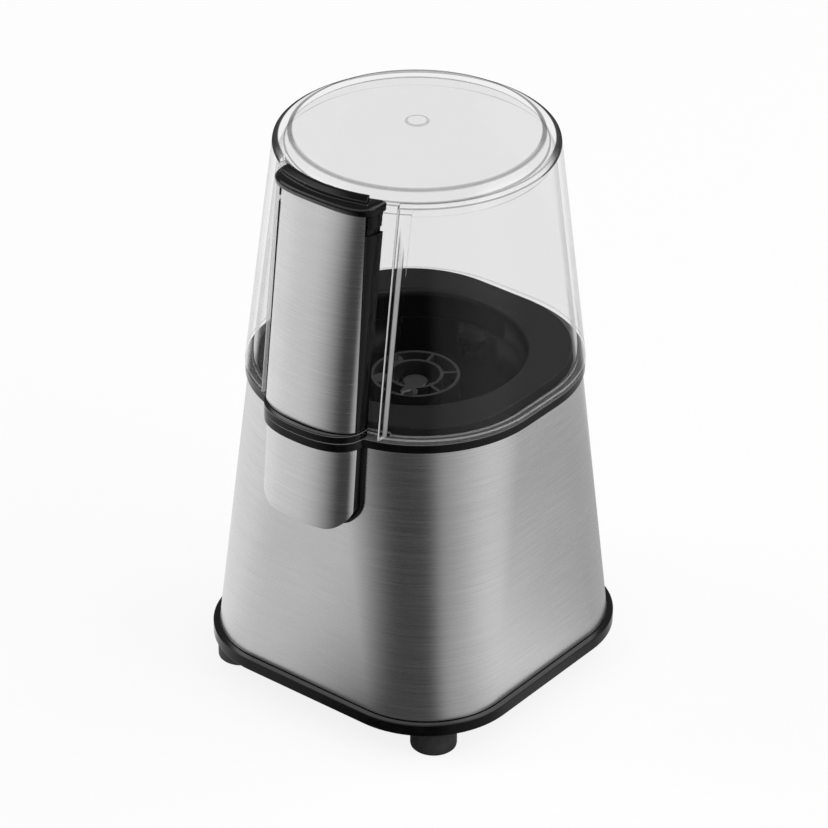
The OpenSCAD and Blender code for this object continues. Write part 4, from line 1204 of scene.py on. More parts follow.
@dataclass
class SubAssembly:
    """A group of pieces that are made and dressed together."""

    finishes: dict[str, bpy.types.Material]
    made: list[str] = field(default_factory=list)

    def dress(self, piece: bpy.types.Object, body: Body, finish: str, slot: Slot, node: str) -> None:
        """Gives a piece its finish, body and solid.

        Args:
            piece: The new object.
            body: The body that it rides on.
            finish: The finish's name.
            slot: Not used.
            node: The solid that it stands for.
        """
        piece.data.materials.clear()
        piece.data.materials.append(self.finishes[finish])
        for polygon in piece.data.polygons:
            polygon.material_index = 0
        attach(piece, body.value)
        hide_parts(node)
        self.made.append(piece.name)

    def rounded(
        self,
        node: str,
        name: str,
        body: Body,
        finish: str,
        slot: Slot,
        bevel: float,
        segments: int = 3,
        keep: Callable[[bmesh.types.BMEdge], bool] | None = None,
    ) -> None:
        """Rounds a copy of a solid and dresses it.

        Args:
            node: The solid's name.
            name: The piece's name.
            body: The body that it rides on.
            finish: The finish's name.
            slot: The record's material slot.
            bevel: The edge radius in millimetres.
            segments: The number of steps in each round edge.
            keep: A test that picks the edges to round, or None for all sharp ones.
        """
        self.dress(rounded_copy(node, name, bevel, segments, keep=keep), body, finish, slot, node)

    def paint(self, node: str, finish: str) -> None:
        """Gives a solid that stays in view its finish."""
        solid = bpy.data.objects[node]
        solid.data.materials.clear()
        solid.data.materials.append(self.finishes[finish])
        self.made.append(node)

    def build(self) -> None:
        """Makes every piece."""
        raise NotImplementedError


@dataclass
class Housing(SubAssembly):
    """Feet, base band, tapered steel sheet, gland and collar."""

    z_band: float = 14.6
    z_collar: float = 120.1
    foot_width: float = 120.2
    foot_corner: float = 33.2
    top_width: float = 111.0
    top_corner: float = 46.2
    sheet: float = 0.8
    edge: float = 0.25
    foot_reach: float = 45.0
    post_reach: float = 35.3
    z_post: float = 10.2
    band_reach: float = 0.056
    band_top: float = 0.0147
    collar_reach: float = 0.0545
    collar_foot: float = 0.1195
    window: tuple[tuple[float, float, float], ...] = ((-9, -62, 92.1), (9, -50, 102.9))
    gland_hole: tuple[tuple[float, float, float], ...] = ((0, 50, 30), (0, 66, 30))
    gland_r: float = 6.5
    foot_outline: tuple[tuple[float, float], ...] = (
        (0, 0.5),
        (3.0, 0.5),
        (3.4, 0),
        (7.3, 0),
        (7.95, 0.15),
        (8.3, 0.5),
        (8.4, 1.0),
        (8.4, 9.2),
        (8.15, 9.35),
        (8.15, 9.65),
        (8.4, 9.8),
        (8.4, 10.0),
        (3.0, 10.0),
        (3.0, 12.9),
        (2.6, 13.4),
        (0, 13.4),
    )

    def plan(self, z: float, inset: float) -> Plan:
        """Outline of the steel at one height, moved inwards by inset."""
        width = along(z, self.z_band, self.z_collar, self.foot_width, self.top_width)
        corner = along(z, self.z_band, self.z_collar, self.foot_corner, self.top_corner)
        return round_square(width - 2 * inset, corner - inset, 48, 8)

    def steel(self) -> bpy.types.Object:
        """Makes the tapered sheet with its rolled edges, window and gland hole.

        Returns:
            The steel housing.
        """
        low, high = self.z_band + 0.1, self.z_collar
        outer = [(self.edge, low), (0.0, low + self.edge)]
        outer += [(0.0, z) for z in np.linspace(low + 2, high - 2, 12)]
        outer += [(0.0, high - self.edge), (self.edge, high)]
        inner = [(self.sheet, z) for z in np.linspace(high, low, 6)]
        rows = [(self.plan(z, inset), z) for inset, z in outer + inner]
        faces = grid_faces(len(rows), len(rows[0][0]), True, True)
        made = mesh_piece("steel_body", stacked(rows), faces)
        tidy(made)
        cut_with(made, box_cutter(*self.window))
        cut_with(made, rod_cutter(*self.gland_hole, self.gland_r))
        soften(made, 30)
        return made

    def on_band(self, edge: bmesh.types.BMEdge) -> bool:
        """Whether an edge lies on the base band's outer side."""
        return outside(edge, self.band_reach) and below(edge, self.band_top)

    def on_collar(self, edge: bmesh.types.BMEdge) -> bool:
        """Whether an edge lies on the collar's outer side."""
        return outside(edge, self.collar_reach) and above(edge, self.collar_foot)

    def build(self) -> None:
        """Makes the base, the steel and the collar."""
        black = (Body.BASE, "gloss_black", Slot.GLOSS)
        rubber = (Body.BASE, "rubber", Slot.RUBBER)
        self.dress(self.steel(), Body.BASE, "brushed_steel", Slot.STEEL, "steel_housing")
        self.rounded("base_plate", "base_band", *black, bevel=0.7, segments=4, keep=self.on_band)
        self.rounded("collar_ring", "collar", *black, bevel=0.5, segments=4, keep=self.on_collar)
        form = turned("foot", self.foot_outline)
        spots = four_places(self.foot_reach, self.foot_reach, 0)
        feet = repeat("rubber_feet", form, spots, self.finishes["rubber"])
        self.dress(feet, *rubber, "feet")
        self.rounded("cord_gland", "gland", *rubber, bevel=0.4)
        form = screw("long_screw", head_r=3.3, head_h=1.8, shank_r=1.6, length=23.6, pitch=1.2)
        spots = four_places(self.post_reach, self.post_reach, self.z_post)
        screws = repeat("foot_screws", form, spots, self.finishes["zinc"])
        self.dress(screws, Body.BASE, "zinc", Slot.ZINC, "base_screws")


@dataclass
class Deck(SubAssembly):
    """Deck with its well, and the drive coupling in it."""

    top: float = 0.1275

    def on_top(self, edge: bmesh.types.BMEdge) -> bool:
        """Whether an edge belongs to the deck's top."""
        return above(edge, self.top)

    def build(self) -> None:
        """Makes the deck, coupling, nut and seal."""
        still = (Body.BASE, "satin_black", Slot.SATIN)
        turning = (Body.ROTOR, "coupling_black", Slot.SATIN)
        self.rounded("well_deck", "deck", *still, bevel=0.6, segments=4, keep=self.on_top)
        self.rounded("drive_coupling", "coupling", *turning, bevel=0.25)
        self.rounded("coupling_nut", "nut", *turning, bevel=0.4)
        self.rounded("shaft_seal", "seal", Body.BASE, "rubber", Slot.RUBBER, bevel=0.3)


@dataclass
class Lid(SubAssembly):
    """Clear lid with its pocket for the handle."""

    z_rim: float = 123.7
    z_seat: float = 123.6
    z_shoulder: float = 211.0
    seat_half_w: float = 56.8
    seat_corner: float = 47.4
    top_r: float = 50.2
    wall: float = 2.5
    pocket_half_w: float = 25.2
    pocket_flare: float = 0.8
    pocket_depth: float = 2.0
    pocket_wall: float = 2.1
    groove_r: float = 43.8
    z_groove: float = 215.2
    z_crown: float = 217.9
    fillet: float = 6.0
    strip_w: float = 29.8
    roll: float = 0.35
    shoulder: tuple[tuple[float, float], ...] = (
        (50.2, 210.9),
        (50.1, 211.25),
        (49.85, 211.52),
        (49.5, 211.72),
        (49.0, 212.0),
        (48.6, 212.22),
        (48.2, 212.42),
        (47.2, 213.04),
        (46.0, 213.8),
        (44.9, 214.5),
        (44.55, 214.72),
        (44.35, 214.75),
        (44.1, 214.72),
        (43.85, 214.74),
        (43.5, 214.95),
        (43.2, 215.2),
        (42.9, 215.36),
    )
    boss: tuple[tuple[float, float], ...] = (
        (4.6, 217.87),
        (3.9, 217.9),
        (3.8, 217.98),
        (3.7, 218.12),
        (3.4, 218.19),
        (1.2, 218.2),
    )

    def __post_init__(self) -> None:
        """Lays out the strip's stations, close together at the pocket's sides."""
        edges = [0, 3, 6, 9, 12, 15, 18, 20.5, 22.5, 24, 24.8, 25.2, 25.32, 25.46, 25.6, 25.74]
        edges += [25.88, 26, 26.4, 27, 27.5, 27.7, 27.86, 28.1, 28.34, 28.5, 29, self.strip_w]
        self.strip = np.array([-x for x in reversed(edges[1:])] + edges)

    def outline(self, straight: float, radius: float, sink: Plan) -> Plan:
        """Gives one closed row: the front strip, then round by the right, back and left.

        Args:
            straight: Half of the flat's length.
            radius: The corner radius at this row.
            sink: How far each of the strip's points lies inside the row.

        Returns:
            The points.
        """
        over = np.maximum(np.abs(self.strip) - straight, 0)
        front = -straight - np.sqrt((radius - sink) ** 2 - over**2)
        points = [np.stack([self.strip, front], 1)]
        start = math.asin((self.strip_w - straight) / radius)
        for quarter in range(4):
            turn = quarter * math.pi / 2
            first = start if quarter == 0 else 0.0
            last = math.pi / 2 - (start if quarter == 3 else 0.0)
            angles = np.linspace(first, last, 49)[1:-1] - math.pi / 2 + turn
            cx = straight * (1 if quarter in (0, 1) else -1)
            cy = straight * (-1 if quarter in (0, 3) else 1)
            arc = np.stack([cx + radius * np.cos(angles), cy + radius * np.sin(angles)], 1)
            points.append(arc)
            if quarter < 3:
                flat = np.linspace(-1, 1, 9)[:, None] * straight
                out = np.array([math.cos(turn), math.sin(turn)])
                along_flat = np.array([-math.sin(turn), math.cos(turn)])
                points.append(out * (straight + radius) + along_flat * flat)
        return np.concatenate(points)

    def sunk(self, half_w: float) -> Plan:
        """Share of the pocket's depth at each of the strip's points."""
        share = np.clip((half_w + self.pocket_flare - np.abs(self.strip)) / self.pocket_flare, 0, 1)
        return share * share * (3 - 2 * share)

    def row(self, z: float, inset: float, half_w: float, floor: float) -> Plan:
        """Gives a row of the wall.

        Args:
            z: The height.
            inset: How far inside the outer face it lies.
            half_w: Half the pocket's width at this face.
            floor: How far inside the outer face the pocket's floor lies.

        Returns:
            The points.
        """
        straight = along(z, self.z_seat, self.z_shoulder, self.seat_half_w - self.seat_corner, 0)
        radius = along(z, self.z_seat, self.z_shoulder, self.seat_corner, self.top_r) - inset
        return self.outline(max(straight, 0.0), radius, self.sunk(half_w) * (floor - inset))

    def ring(self, radius: float, half_w: float, floor: float) -> Plan:
        """Gives a round row above the shoulder, cut back to the pocket's floor.

        Args:
            radius: The row's radius.
            half_w: Half the pocket's width at this face.
            floor: How far inside the shoulder the pocket's floor lies.

        Returns:
            The points.
        """
        if radius < self.groove_r:
            return self.outline(0.0, self.groove_r, np.zeros(len(self.strip))) * (radius / self.groove_r)
        return self.outline(0.0, radius, self.sunk(half_w) * max(0.0, radius - self.top_r + floor))

    def dome(self, radius: float, z: float, shares: Sequence[float]) -> list[tuple[Plan, float]]:
        """Gives the rows of a shallow dome.

        Args:
            radius: The dome's radius at its foot.
            z: The height of its foot.
            shares: Where the rows lie, as shares of the radius.

        Returns:
            Each row with its height.
        """
        rise = self.z_crown - self.z_groove
        return [(self.ring(radius * i, 0, 0), z + rise * (1 - i**2)) for i in shares]

    def shell(self) -> bpy.types.Object:
        """Makes the lid's shell with its pocket, shoulder and crown.

        Returns:
            The clear lid.
        """
        half_w, floor = self.pocket_half_w, self.pocket_depth
        rows = [(self.row(self.z_rim, self.roll, half_w, floor + self.roll), self.z_rim)]
        for z in np.linspace(self.z_rim + self.roll, self.z_shoulder - 0.5, 24):
            rows.append((self.row(z, 0, half_w, floor), z))
        rows += [(self.ring(radius, half_w, floor), z) for radius, z in self.shoulder]
        rows += self.dome(self.groove_r, self.z_groove, (0.9, 0.8, 0.7, 0.6, 0.5, 0.4, 0.3, 0.2))
        rows += [(self.ring(radius, 0, 0), z) for radius, z in self.boss]
        outer_rows = len(rows)
        ceiling_z = self.z_groove - self.wall
        ceiling_r = self.top_r - self.wall - self.fillet
        half_w, floor = self.pocket_half_w + self.wall, self.pocket_depth + self.pocket_wall
        for z in np.linspace(self.z_rim, ceiling_z - self.fillet, 22):
            rows.append((self.row(z, self.wall, half_w, floor), z))
        for t in np.radians(range(9, 91, 9)):
            radius = ceiling_r + self.fillet * math.cos(t)
            z = ceiling_z - self.fillet + self.fillet * math.sin(t)
            rows.append((self.ring(radius, half_w, floor), z))
        rows += self.dome(ceiling_r, ceiling_z, (0.8, 0.6, 0.4, 0.2, 0.1))
        count = len(rows[0][0])
        points = stacked(rows)
        faces = grid_faces(outer_rows, count, False, True)
        inner = grid_faces(len(rows) - outer_rows, count, False, True)
        offset = outer_rows * count
        faces += [[v + offset for v in reversed(f)] for f in inner]
        faces += [[k, offset + k, offset + (k + 1) % count, (k + 1) % count] for k in range(count)]
        faces.append([(outer_rows - 1) * count + k for k in range(count)])
        faces.append([(len(rows) - 1) * count + k for k in reversed(range(count))])
        made = mesh_piece("lid", points, faces)
        tidy(made, 2e-6)
        soften(made, 36)
        return made

    def build(self) -> None:
        """Makes the clear lid."""
        self.dress(self.shell(), Body.LID, "clear_lid", Slot.CLEAR, "lid_shell")


@dataclass
class Handle(SubAssembly):
    """Black frame, steel panel, screws, push button and rod."""

    z_flange: float = 126.8
    z_head: float = 209.4
    half_w: float = 20.6
    foot_reach: float = 64.4
    head_reach: float = 54.7
    bow_depth: float = 9.0
    power: float = 2.4
    swell: float = 1.0
    swell_head: float = 0.22
    swell_run: float = 26.0
    z_lip: float = 207.2
    side_foot: float = 5.9
    side_head: float = 4.0
    sheet: float = 0.4
    edge: float = 0.25
    rod_reach: float = 58.8
    z_coil: float = 135.1
    travel: float = 2.0
    screw_x: float = 12.0
    screw_heights: tuple[float, float] = (155.6, 191.6)
    screw_sink: float = 1.3

    def swell_at(self, z: float) -> float:
        """How far the panel swells at a height; under the button's lip it is nearly plain."""
        share = float(np.clip((self.z_lip - z) / self.swell_run, 0, 1))
        return self.swell_head + (self.swell - self.swell_head) * share * share * (3 - 2 * share)

    def face(self, z: float, inset: float, side_inset: float, steps: int) -> Plan:
        """Gives the panel's outline at one height.

        Args:
            z: The height.
            inset: How far inside the outer face it lies.
            side_inset: How much sooner its sides end.
            steps: The number of steps.

        Returns:
            The points from the right to the left.
        """
        front = -along(z, self.z_flange, self.z_head, self.foot_reach, self.head_reach)
        side = along(z, self.z_flange, self.z_head, self.side_foot, self.side_head)
        depth = self.bow_depth - inset
        share = (side - side_inset) / (self.bow_depth - side_inset)
        swell = self.swell_at(z)
        return bow(self.half_w - inset, depth, self.power, front + inset, steps, share, swell)

    def panel(self) -> bpy.types.Object:
        """Makes the bowed steel panel with rolled edges.

        Returns:
            The panel.
        """
        z0, z1 = self.z_flange + 0.1, self.z_head
        steps = 90
        middle = np.linspace(z0 + 2, z1 - 2, 12)
        heights = [z0, z0 + self.edge, *middle, z1 - self.edge, z1]
        rows = []
        for z in heights:
            pull = self.edge if z in (z0, z1) else 0.0
            outer = self.face(z, pull, 0.0, steps)
            inner = self.face(z, self.sheet, self.sheet, steps)
            rows.append((np.concatenate([outer, inner[::-1]]), z))
        count = 2 * (steps + 1)
        faces = grid_faces(len(heights), count, False, True)
        last = (len(heights) - 1) * count
        for k in range(steps):
            a, b = k, count - 1 - k
            faces.append([a, b, b - 1, a + 1])
            faces.append([last + a + 1, last + b - 1, last + b, last + a])
        made = mesh_piece("handle_front", stacked(rows), faces)
        tidy(made)
        soften(made, 32)
        return made

    def screws(self) -> bpy.types.Object:
        """Sets the four screws square to the lid's inner face.

        Returns:
            The screws.
        """
        lid = Lid(self.finishes)
        inset = lid.pocket_depth + lid.pocket_wall
        lean = math.atan((lid.seat_half_w - lid.top_r) / (lid.z_shoulder - lid.z_seat))
        points, turns = [], []
        for side in (-1, 1):
            for z in self.screw_heights:
                straight = along(z, lid.z_seat, lid.z_shoulder, lid.seat_half_w - lid.seat_corner, 0)
                radius = along(z, lid.z_seat, lid.z_shoulder, lid.seat_corner, lid.top_r) - inset
                angle = side * math.asin((self.screw_x - straight) / radius)
                out = Vector((math.sin(angle), -math.cos(angle), 0))
                spot = Vector((side * straight, -straight, z)) + out * radius
                points.append(tuple(spot))
                turns.append((-lean, 0.0, angle))
        form = screw("short_screw", head_r=3.3, head_h=1.6, shank_r=1.6, length=8.8)
        form.data.transform(Matrix.Rotation(math.pi / 2, 4, "X"))
        form.data.transform(Matrix.Translation((0, self.screw_sink * MM, 0)))
        return repeat("lid_screws", form, points, self.finishes["zinc"], np.array(turns))

    def build(self) -> None:
        """Makes the handle and its button."""
        black = (Body.LID, "gloss_black", Slot.GLOSS)
        metal = (Body.LID, "zinc", Slot.ZINC)
        self.dress(self.panel(), Body.LID, "panel_steel", Slot.STEEL, "handle_panel")
        self.rounded("handle_frame", "handle_back", *black, bevel=0.35, segments=4, keep=outer_edge)
        button = moulded_copy("push_button", "button")
        self.dress(button, Body.BUTTON, "gloss_black", Slot.GLOSS, "push_button")
        self.rounded("push_rod", "rod", Body.BUTTON, "nylon", Slot.NYLON, bevel=0.2)
        self.dress(self.screws(), *metal, "handle_screws")
        foot = (0.0, -self.rod_reach, self.z_flange + 0.15)
        coils = Coils(self.finishes["zinc"])
        spring = coils.spring("button_coil", foot, self.z_coil, turns=4, outer=2.88, wire=0.35)
        self.dress(spring, *metal, "button_spring")
        shorten(spring)


@dataclass
class SwitchPod(SubAssembly):
    """Pod on the housing's front with the plunger, lever and micro switch."""

    z_pod: float = 88.1
    z_collar: float = 120.1
    half_w: float = 20.6
    bow_depth: float = 9.0
    power: float = 2.4
    swell: float = 0.7
    side: float = 6.2
    corner: float = 10.0
    top_out: float = 8.4
    bottom_out: float = 9.7
    sheet: float = 0.4
    edge: float = 0.22
    coil_foot: tuple[float, float, float] = (0.0, -58.8, 105.3)
    z_coil: float = 116.8
    travel: float = 2.0

    def front(self, z: float) -> float:
        """Where the pod's foremost point lies on Y at one height."""
        foot, top = Housing.foot_width / 2, Housing.top_width / 2
        housing = along(z, Housing.z_band, Housing.z_collar, foot, top)
        return -housing - along(z, self.z_pod, self.z_collar, self.bottom_out, self.top_out)

    def skin(self, inset: float, steps: int) -> Plan:
        """Gives the rows of the panel's outer or inner face.

        Args:
            inset: How far inside the outer face it lies.
            steps: The number of steps across.

        Returns:
            The points, row by row.
        """
        corner, half_w, depth = self.corner - inset, self.half_w - inset, self.bow_depth - inset
        low, top = self.z_pod + inset, self.z_collar - 0.1
        quarter = np.linspace(0, math.pi / 2, 16)
        heights = [(low + corner * (1 - math.cos(t)), corner * math.sin(t)) for t in quarter]
        heights += [(z, corner) for z in np.linspace(low + corner, top, 10)[1:]]
        widest = half_w * (1 - (1 - (self.side - inset) / depth) ** self.power) ** (1 / self.power)
        rows = []
        for z, reach in heights:
            w = min(half_w - corner + reach, widest)
            x = w * np.sin(np.linspace(-math.pi / 2, math.pi / 2, steps + 1))
            bulge = (1 - (np.abs(x) / half_w) ** self.power) ** (1 / self.power)
            y = self.front(z) + inset + depth - depth * bulge
            y = y - self.swell * (1 - (x / half_w) ** 2)
            rows.append(np.column_stack([x, y, np.full(len(x), z)]))
        return np.array(rows)

    def panel(self) -> bpy.types.Object:
        """Makes the bowed steel panel with its round lower corners.

        Returns:
            The panel.
        """
        steps = 72
        outer, inner = self.skin(0.0, steps), self.skin(self.sheet, steps)
        rows, columns = outer.shape[:2]
        rim = [r * columns + c for r, c in self.border(rows, columns)]
        step = rows * columns
        faces = grid_faces(rows, columns, False, False)
        faces += [[v + step for v in reversed(f)] for f in faces]
        for here, there in zip(rim, rim[1:] + rim[:1]):
            faces.append([there, here, here + step, there + step])
        points = np.concatenate([outer.reshape(-1, 3), inner.reshape(-1, 3)])
        made = mesh_piece("pod_front", points, faces)
        tidy(made)
        rounding = made.modifiers.new("rolled edge", "BEVEL")
        rounding.width, rounding.segments, rounding.limit_method = self.edge * MM, 3, "ANGLE"
        rounding.angle_limit = math.radians(50)
        bake_modifiers(made)
        soften(made, 32)
        return made

    def border(self, rows: int, columns: int) -> list[tuple[int, int]]:
        """Row and column of each point round a grid's edge, in order."""
        edge = [(0, c) for c in range(columns)] + [(r, columns - 1) for r in range(1, rows)]
        edge += [(rows - 1, c) for c in range(columns - 2, -1, -1)]
        return edge + [(r, 0) for r in range(rows - 2, 0, -1)]

    def build(self) -> None:
        """Makes the pod and the switch."""
        self.dress(self.panel(), Body.BASE, "panel_steel", Slot.STEEL, "pod_panel")
        self.rounded("pod_frame", "pod_back", Body.BASE, "gloss_black", Slot.GLOSS, bevel=0.2)
        self.rounded("switch_plunger", "plunger", Body.PLUNGER, "nylon", Slot.NYLON, bevel=0.2)
        foot = self.coil_foot
        coils = Coils(self.finishes["zinc"])
        spring = coils.spring("plunger_coil", foot, self.z_coil, turns=5, outer=2.47, wire=0.32)
        self.dress(spring, Body.BASE, "zinc", Slot.ZINC, "plunger_spring")
        shorten(spring)
        self.paint("micro_switch", "switch_case")
        self.paint("switch_lever", "zinc")
        self.paint("switch_pin", "switch_red")


@dataclass
class Motor(SubAssembly):
    """Universal motor inside the housing."""

    plain: tuple[tuple[str, str], ...] = (
        ("motor_shaft", "ground_steel"),
        ("upper_bush", "bronze"),
        ("lower_bush", "bronze"),
        ("rotor_core", "core_plates"),
        ("rotor_windings", "rotor_wire"),
        ("cooling_fan", "nylon"),
        ("stator_core", "core_plates"),
        ("field_coils", "coil_wire"),
        ("upper_bracket", "pressed_steel"),
        ("lower_bracket", "pressed_steel"),
        ("through_bolts", "zinc"),
        ("brush_holders", "brass"),
        ("carbon_brushes", "carbon"),
    )
    mount_x: float = 24.0
    mount_y: float = 19.0
    z_mount: float = 84.5
    bar_count: int = 24
    bar_inner: float = 3.0
    bar_outer: float = 8.49
    bar_gap: float = 0.2
    bar_step: float = 0.8
    bar_span: tuple[float, float] = (36.0, 44.0)
    damper_outline: tuple[tuple[float, float], ...] = (
        (2.1, 86.4),
        (4.6, 86.4),
        (5, 86.8),
        (5, 87.6),
        (4.8, 87.95),
        (3.4, 87.95),
        (3.4, 91.05),
        (4.8, 91.05),
        (5, 91.4),
        (5, 93.5),
        (4.6, 93.9),
        (2.1, 93.9),
    )

    def bars(self) -> bpy.types.Object:
        """Makes the commutator's copper bars round their insulating sleeve.

        Returns:
            The commutator.
        """
        count = self.bar_count
        half = math.pi / count
        angles = np.linspace(-half, half, 7)
        narrow = 1 - self.bar_gap * count / (math.pi * self.bar_outer)
        step = self.bar_outer - self.bar_step
        plan = [*on_circle(self.bar_outer, angles * narrow), *on_circle(step, angles[-1:])]
        plan += [*on_circle(self.bar_inner, angles[::-1]), *on_circle(step, angles[:1])]
        n = len(plan)
        faces = grid_faces(2, n, False, True) + [list(reversed(range(n))), list(range(n, 2 * n))]
        bar = mesh_piece("bar", stacked([(plan, z) for z in self.bar_span]), faces)
        tidy(bar)
        turns = np.array([(0, 0, 2 * math.pi * i / count) for i in range(count)])
        spots = np.zeros((count, 3))
        return repeat("commutator_bars", bar, spots, self.finishes["copper_bars"], turns)

    def build(self) -> None:
        """Gives each motor solid its finish and makes the repeated pieces."""
        for node, finish in self.plain:
            self.paint(node, finish)
        self.dress(self.bars(), Body.ROTOR, "copper_bars", Slot.COPPER, "commutator")
        form = turned("grommet", self.damper_outline, 48)
        spots = four_places(self.mount_x, self.mount_y, 0)
        dampers = repeat("grommets", form, spots, self.finishes["rubber"])
        self.dress(dampers, Body.BASE, "rubber", Slot.RUBBER, "motor_dampers")
        form = screw("motor_screw", head_r=3.7, head_h=1.8, shank_r=1.6, length=15.6, pitch=1.1)
        spots = four_places(self.mount_x, self.mount_y, self.z_mount)
        screws = repeat("hanging_screws", form, spots, self.finishes["zinc"])
        self.dress(screws, Body.BASE, "zinc", Slot.ZINC, "motor_screws")


# ---- Studio ----


@dataclass
class Studio:
    """Floor, soft lights, white backdrop and camera.

    Each card runs between two bearings round Z, in degrees, and changes the tone that
    the floor shows in reflections from its first to its last value.
    """

    azimuth: float = 38.331
    elevation: float = 31.478
    distance: float = 1.7048
    lens: float = 207.02
    roll: float = 0.4
    aim_height: float = 0.099242
    aim_side: float = -0.000403
    sensor: float = 36.0
    floor_reach: float = 4.0
    sky: float = 0.55
    sky_panel: float = 2.6
    sky_dim: float = 0.17
    card_tone: float = 0.06
    cards: tuple[tuple[float, float, float, float], ...] = (
        (20, -36, 0, 0.76),
        (-36, -62, 0, 0.14),
        (-90, -130, 0, -0.22),
        (43, 59, 0, 0.38),
        (56, 96, 0, 0.4),
        (102, 132, 0, -0.3),
    )

    def camera(self) -> None:
        """Places the camera."""
        az, el = math.radians(self.azimuth), math.radians(self.elevation)
        right = Vector((math.cos(az), math.sin(az), 0))
        back = Vector((math.sin(az) * math.cos(el), -math.cos(az) * math.cos(el), math.sin(el)))
        up = back.cross(right)
        aim = Vector((0, 0, self.aim_height)) + right * self.aim_side
        t = math.radians(self.roll)
        right, up = right * math.cos(t) + up * math.sin(t), up * math.cos(t) - right * math.sin(t)
        data = bpy.data.cameras.new("camera")
        data.lens, data.sensor_width = self.lens, self.sensor
        data.clip_start, data.clip_end = 0.1, 20.0
        made = bpy.data.objects.new("camera", data)
        turn = Matrix((right, up, back)).transposed()
        made.matrix_world = Matrix.Translation(aim + back * self.distance) @ turn.to_4x4()
        bpy.context.scene.collection.objects.link(made)
        bpy.context.scene.camera = made

    def light(self, name: str, place: Sequence[float], size: Sequence[float], power: float) -> None:
        """Adds a soft rectangular light that faces the object.

        Args:
            name: The light's name.
            place: Where it is.
            size: Its width and height.
            power: Its power in watts.
        """
        data = bpy.data.lights.new(name, "AREA")
        data.shape, data.size, data.size_y, data.energy = "RECTANGLE", size[0], size[1], power
        made = bpy.data.objects.new(name, data)
        made.location = place
        made.rotation_mode = "QUATERNION"
        made.rotation_quaternion = (Vector((0, 0, 0.1)) - Vector(place)).to_track_quat("-Z", "Y")
        bpy.context.scene.collection.objects.link(made)

    def floor(self) -> None:
        """Adds the pale floor.

        It shows white but for a trace of shadow. What reflects it meets a broad dark
        card in front of the object's near corner, with pale ones to both sides.
        """
        mesh = bpy.data.meshes.new("floor")
        r = self.floor_reach
        mesh.from_pydata([(-r, -r, 0), (r, -r, 0), (r, r, 0), (-r, r, 0)], [], [(0, 1, 2, 3)])
        made = bpy.data.objects.new("floor", mesh)
        bpy.context.scene.collection.objects.link(made)
        material = bpy.data.materials.new("pale_floor")
        material.use_nodes = True
        sheet = Sheet(material.node_tree)
        x, y, _ = sheet.axes()
        way = sheet.bearing(x, y)
        tone = way.ease(*self.cards[0]) + self.card_tone
        for start, end, first, last in self.cards[1:]:
            tone = tone + way.ease(start, end, first, last)
        path = sheet.node("ShaderNodeLightPath")
        dark = sheet.node("ShaderNodeEmission", {}, {"Color": (0, 0, 0, 1), "Strength": 0.0})
        pale = sheet.node("ShaderNodeEmission", {}, {"Color": (1, 1, 1, 1), "Strength": 1.0})
        cards = sheet.mix(tone, dark, pale)
        fine = sheet.noise(300, detail=2)
        matt = sheet.coated(
            {
                "Base Color": sheet.tint(fine, grey(0.93), grey(0.96)),
                "Roughness": 0.9,
                "Specular IOR Level": 0.1,
            }
        )
        shown = sheet.mix(sheet.out(path, "Is Camera Ray") * 0.85, matt, pale)
        sheet.finish(sheet.mix(sheet.out(path, "Is Glossy Ray"), shown, cards))
        made.data.materials.append(material)

    def world(self) -> None:
        """Makes an even studio light with a white background."""
        world = bpy.data.worlds.new("studio")
        world.use_nodes = True
        bpy.context.scene.world = world
        sheet = Sheet(world.node_tree)
        path = sheet.node("ShaderNodeLightPath")
        seen = sheet.out(path, "Is Camera Ray").at_least(sheet.out(path, "Is Transmission Ray"))
        mirrored = sheet.out(path, "Is Glossy Ray") * (1 - seen)
        x, y, rise = sheet.axes(sheet.out(sheet.node("ShaderNodeTexCoord"), "Generated"))
        way = sheet.bearing(x, y)
        panel = rise.ease(0.4, 0.55) * rise.ease(0.93, 0.85) * way.ease(-100, -80) * way.ease(172, 155)
        strength = (seen * (1 - self.sky) + self.sky).at_most(1.0)
        strength = strength + mirrored * (panel * self.sky_panel - self.sky_dim)
        values = {"Color": (1, 1, 1, 1), "Strength": strength}
        sheet.finish(sheet.node("ShaderNodeBackground", {}, values), "ShaderNodeOutputWorld")

    def build(self) -> None:
        """Makes the whole studio."""
        self.camera()
        self.floor()
        self.world()
        self.light("left_softbox", (-1.6, -0.9, 1.1), (1.0, 1.6), 12)
        self.light("right_softbox", (1.8, 0.2, 1.0), (1.0, 1.6), 13)
        self.light("back_softbox", (0.9, 1.1, 1.7), (1.4, 1.4), 12)


FINISHES: tuple[Finish, ...] = (
    BrushedSteel("brushed_steel"),
    BrushedSteel("panel_steel", tone=0.66, rough=0.24),
    GlossBlack("gloss_black"),
    # The deck's well is painted darker as shade.
    SatinPlastic("satin_black", grey(0.0095), 0.45, gloss=0.09, deep=grey(0.0012), well_r=0.0405),
    SatinPlastic("coupling_black", grey(0.016), 0.3, gloss=0.5),
    SatinPlastic("switch_case", grey(0.03), 0.5),
    SatinPlastic("switch_red", (0.42, 0.03, 0.02), 0.4),
    SatinPlastic("nylon", (0.72, 0.7, 0.64), 0.45),
    SatinPlastic("carbon", grey(0.02), 0.6),
    SoftRubber("rubber"),
    ClearPlastic("clear_lid"),
    BareMetal("zinc", grey(0.6, 0.02), 0.3),
    BareMetal("ground_steel", grey(0.62), 0.2, Grain.ACROSS, 3000),
    BareMetal("pressed_steel", grey(0.5), 0.38),
    BareMetal("bronze", (0.5, 0.31, 0.12), 0.42),
    BareMetal("brass", (0.68, 0.5, 0.2), 0.28),
    BareMetal("copper_bars", (0.68, 0.3, 0.16), 0.25, Grain.ACROSS, 2600),
    StackedSteel("core_plates"),
    CopperWire("rotor_wire"),
    CopperWire("coil_wire", turn=(math.pi / 2, 0, 0)),
)


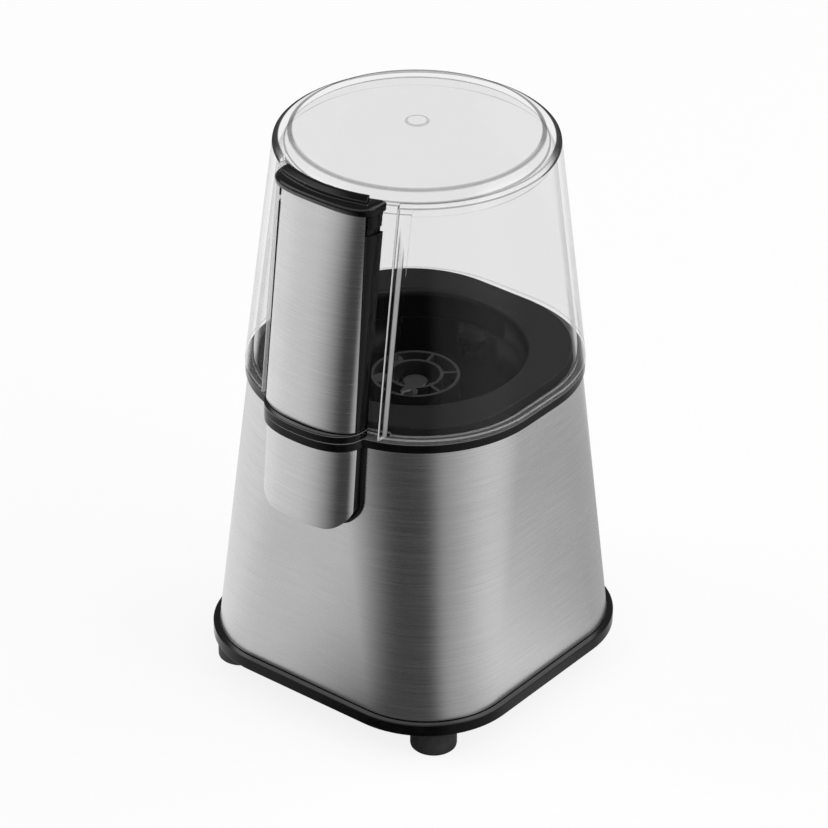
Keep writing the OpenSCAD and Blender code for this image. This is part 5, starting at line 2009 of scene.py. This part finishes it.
def main() -> None:
    """Builds the grinder's looks around its solids."""
    logging.basicConfig(level=logging.INFO, format="%(name)s: %(message)s")
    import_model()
    finishes = {finish.name: finish.build() for finish in FINISHES}
    Studio().build()
    for kind in (Housing, Deck, Lid, Handle, SwitchPod, Motor):
        group = kind(finishes)
        group.build()
        LOG.info("%s: %s", kind.__name__, ", ".join(group.made))
    bpy.context.scene.view_settings.view_transform = "Standard"


if __name__ == "__main__":
    main()
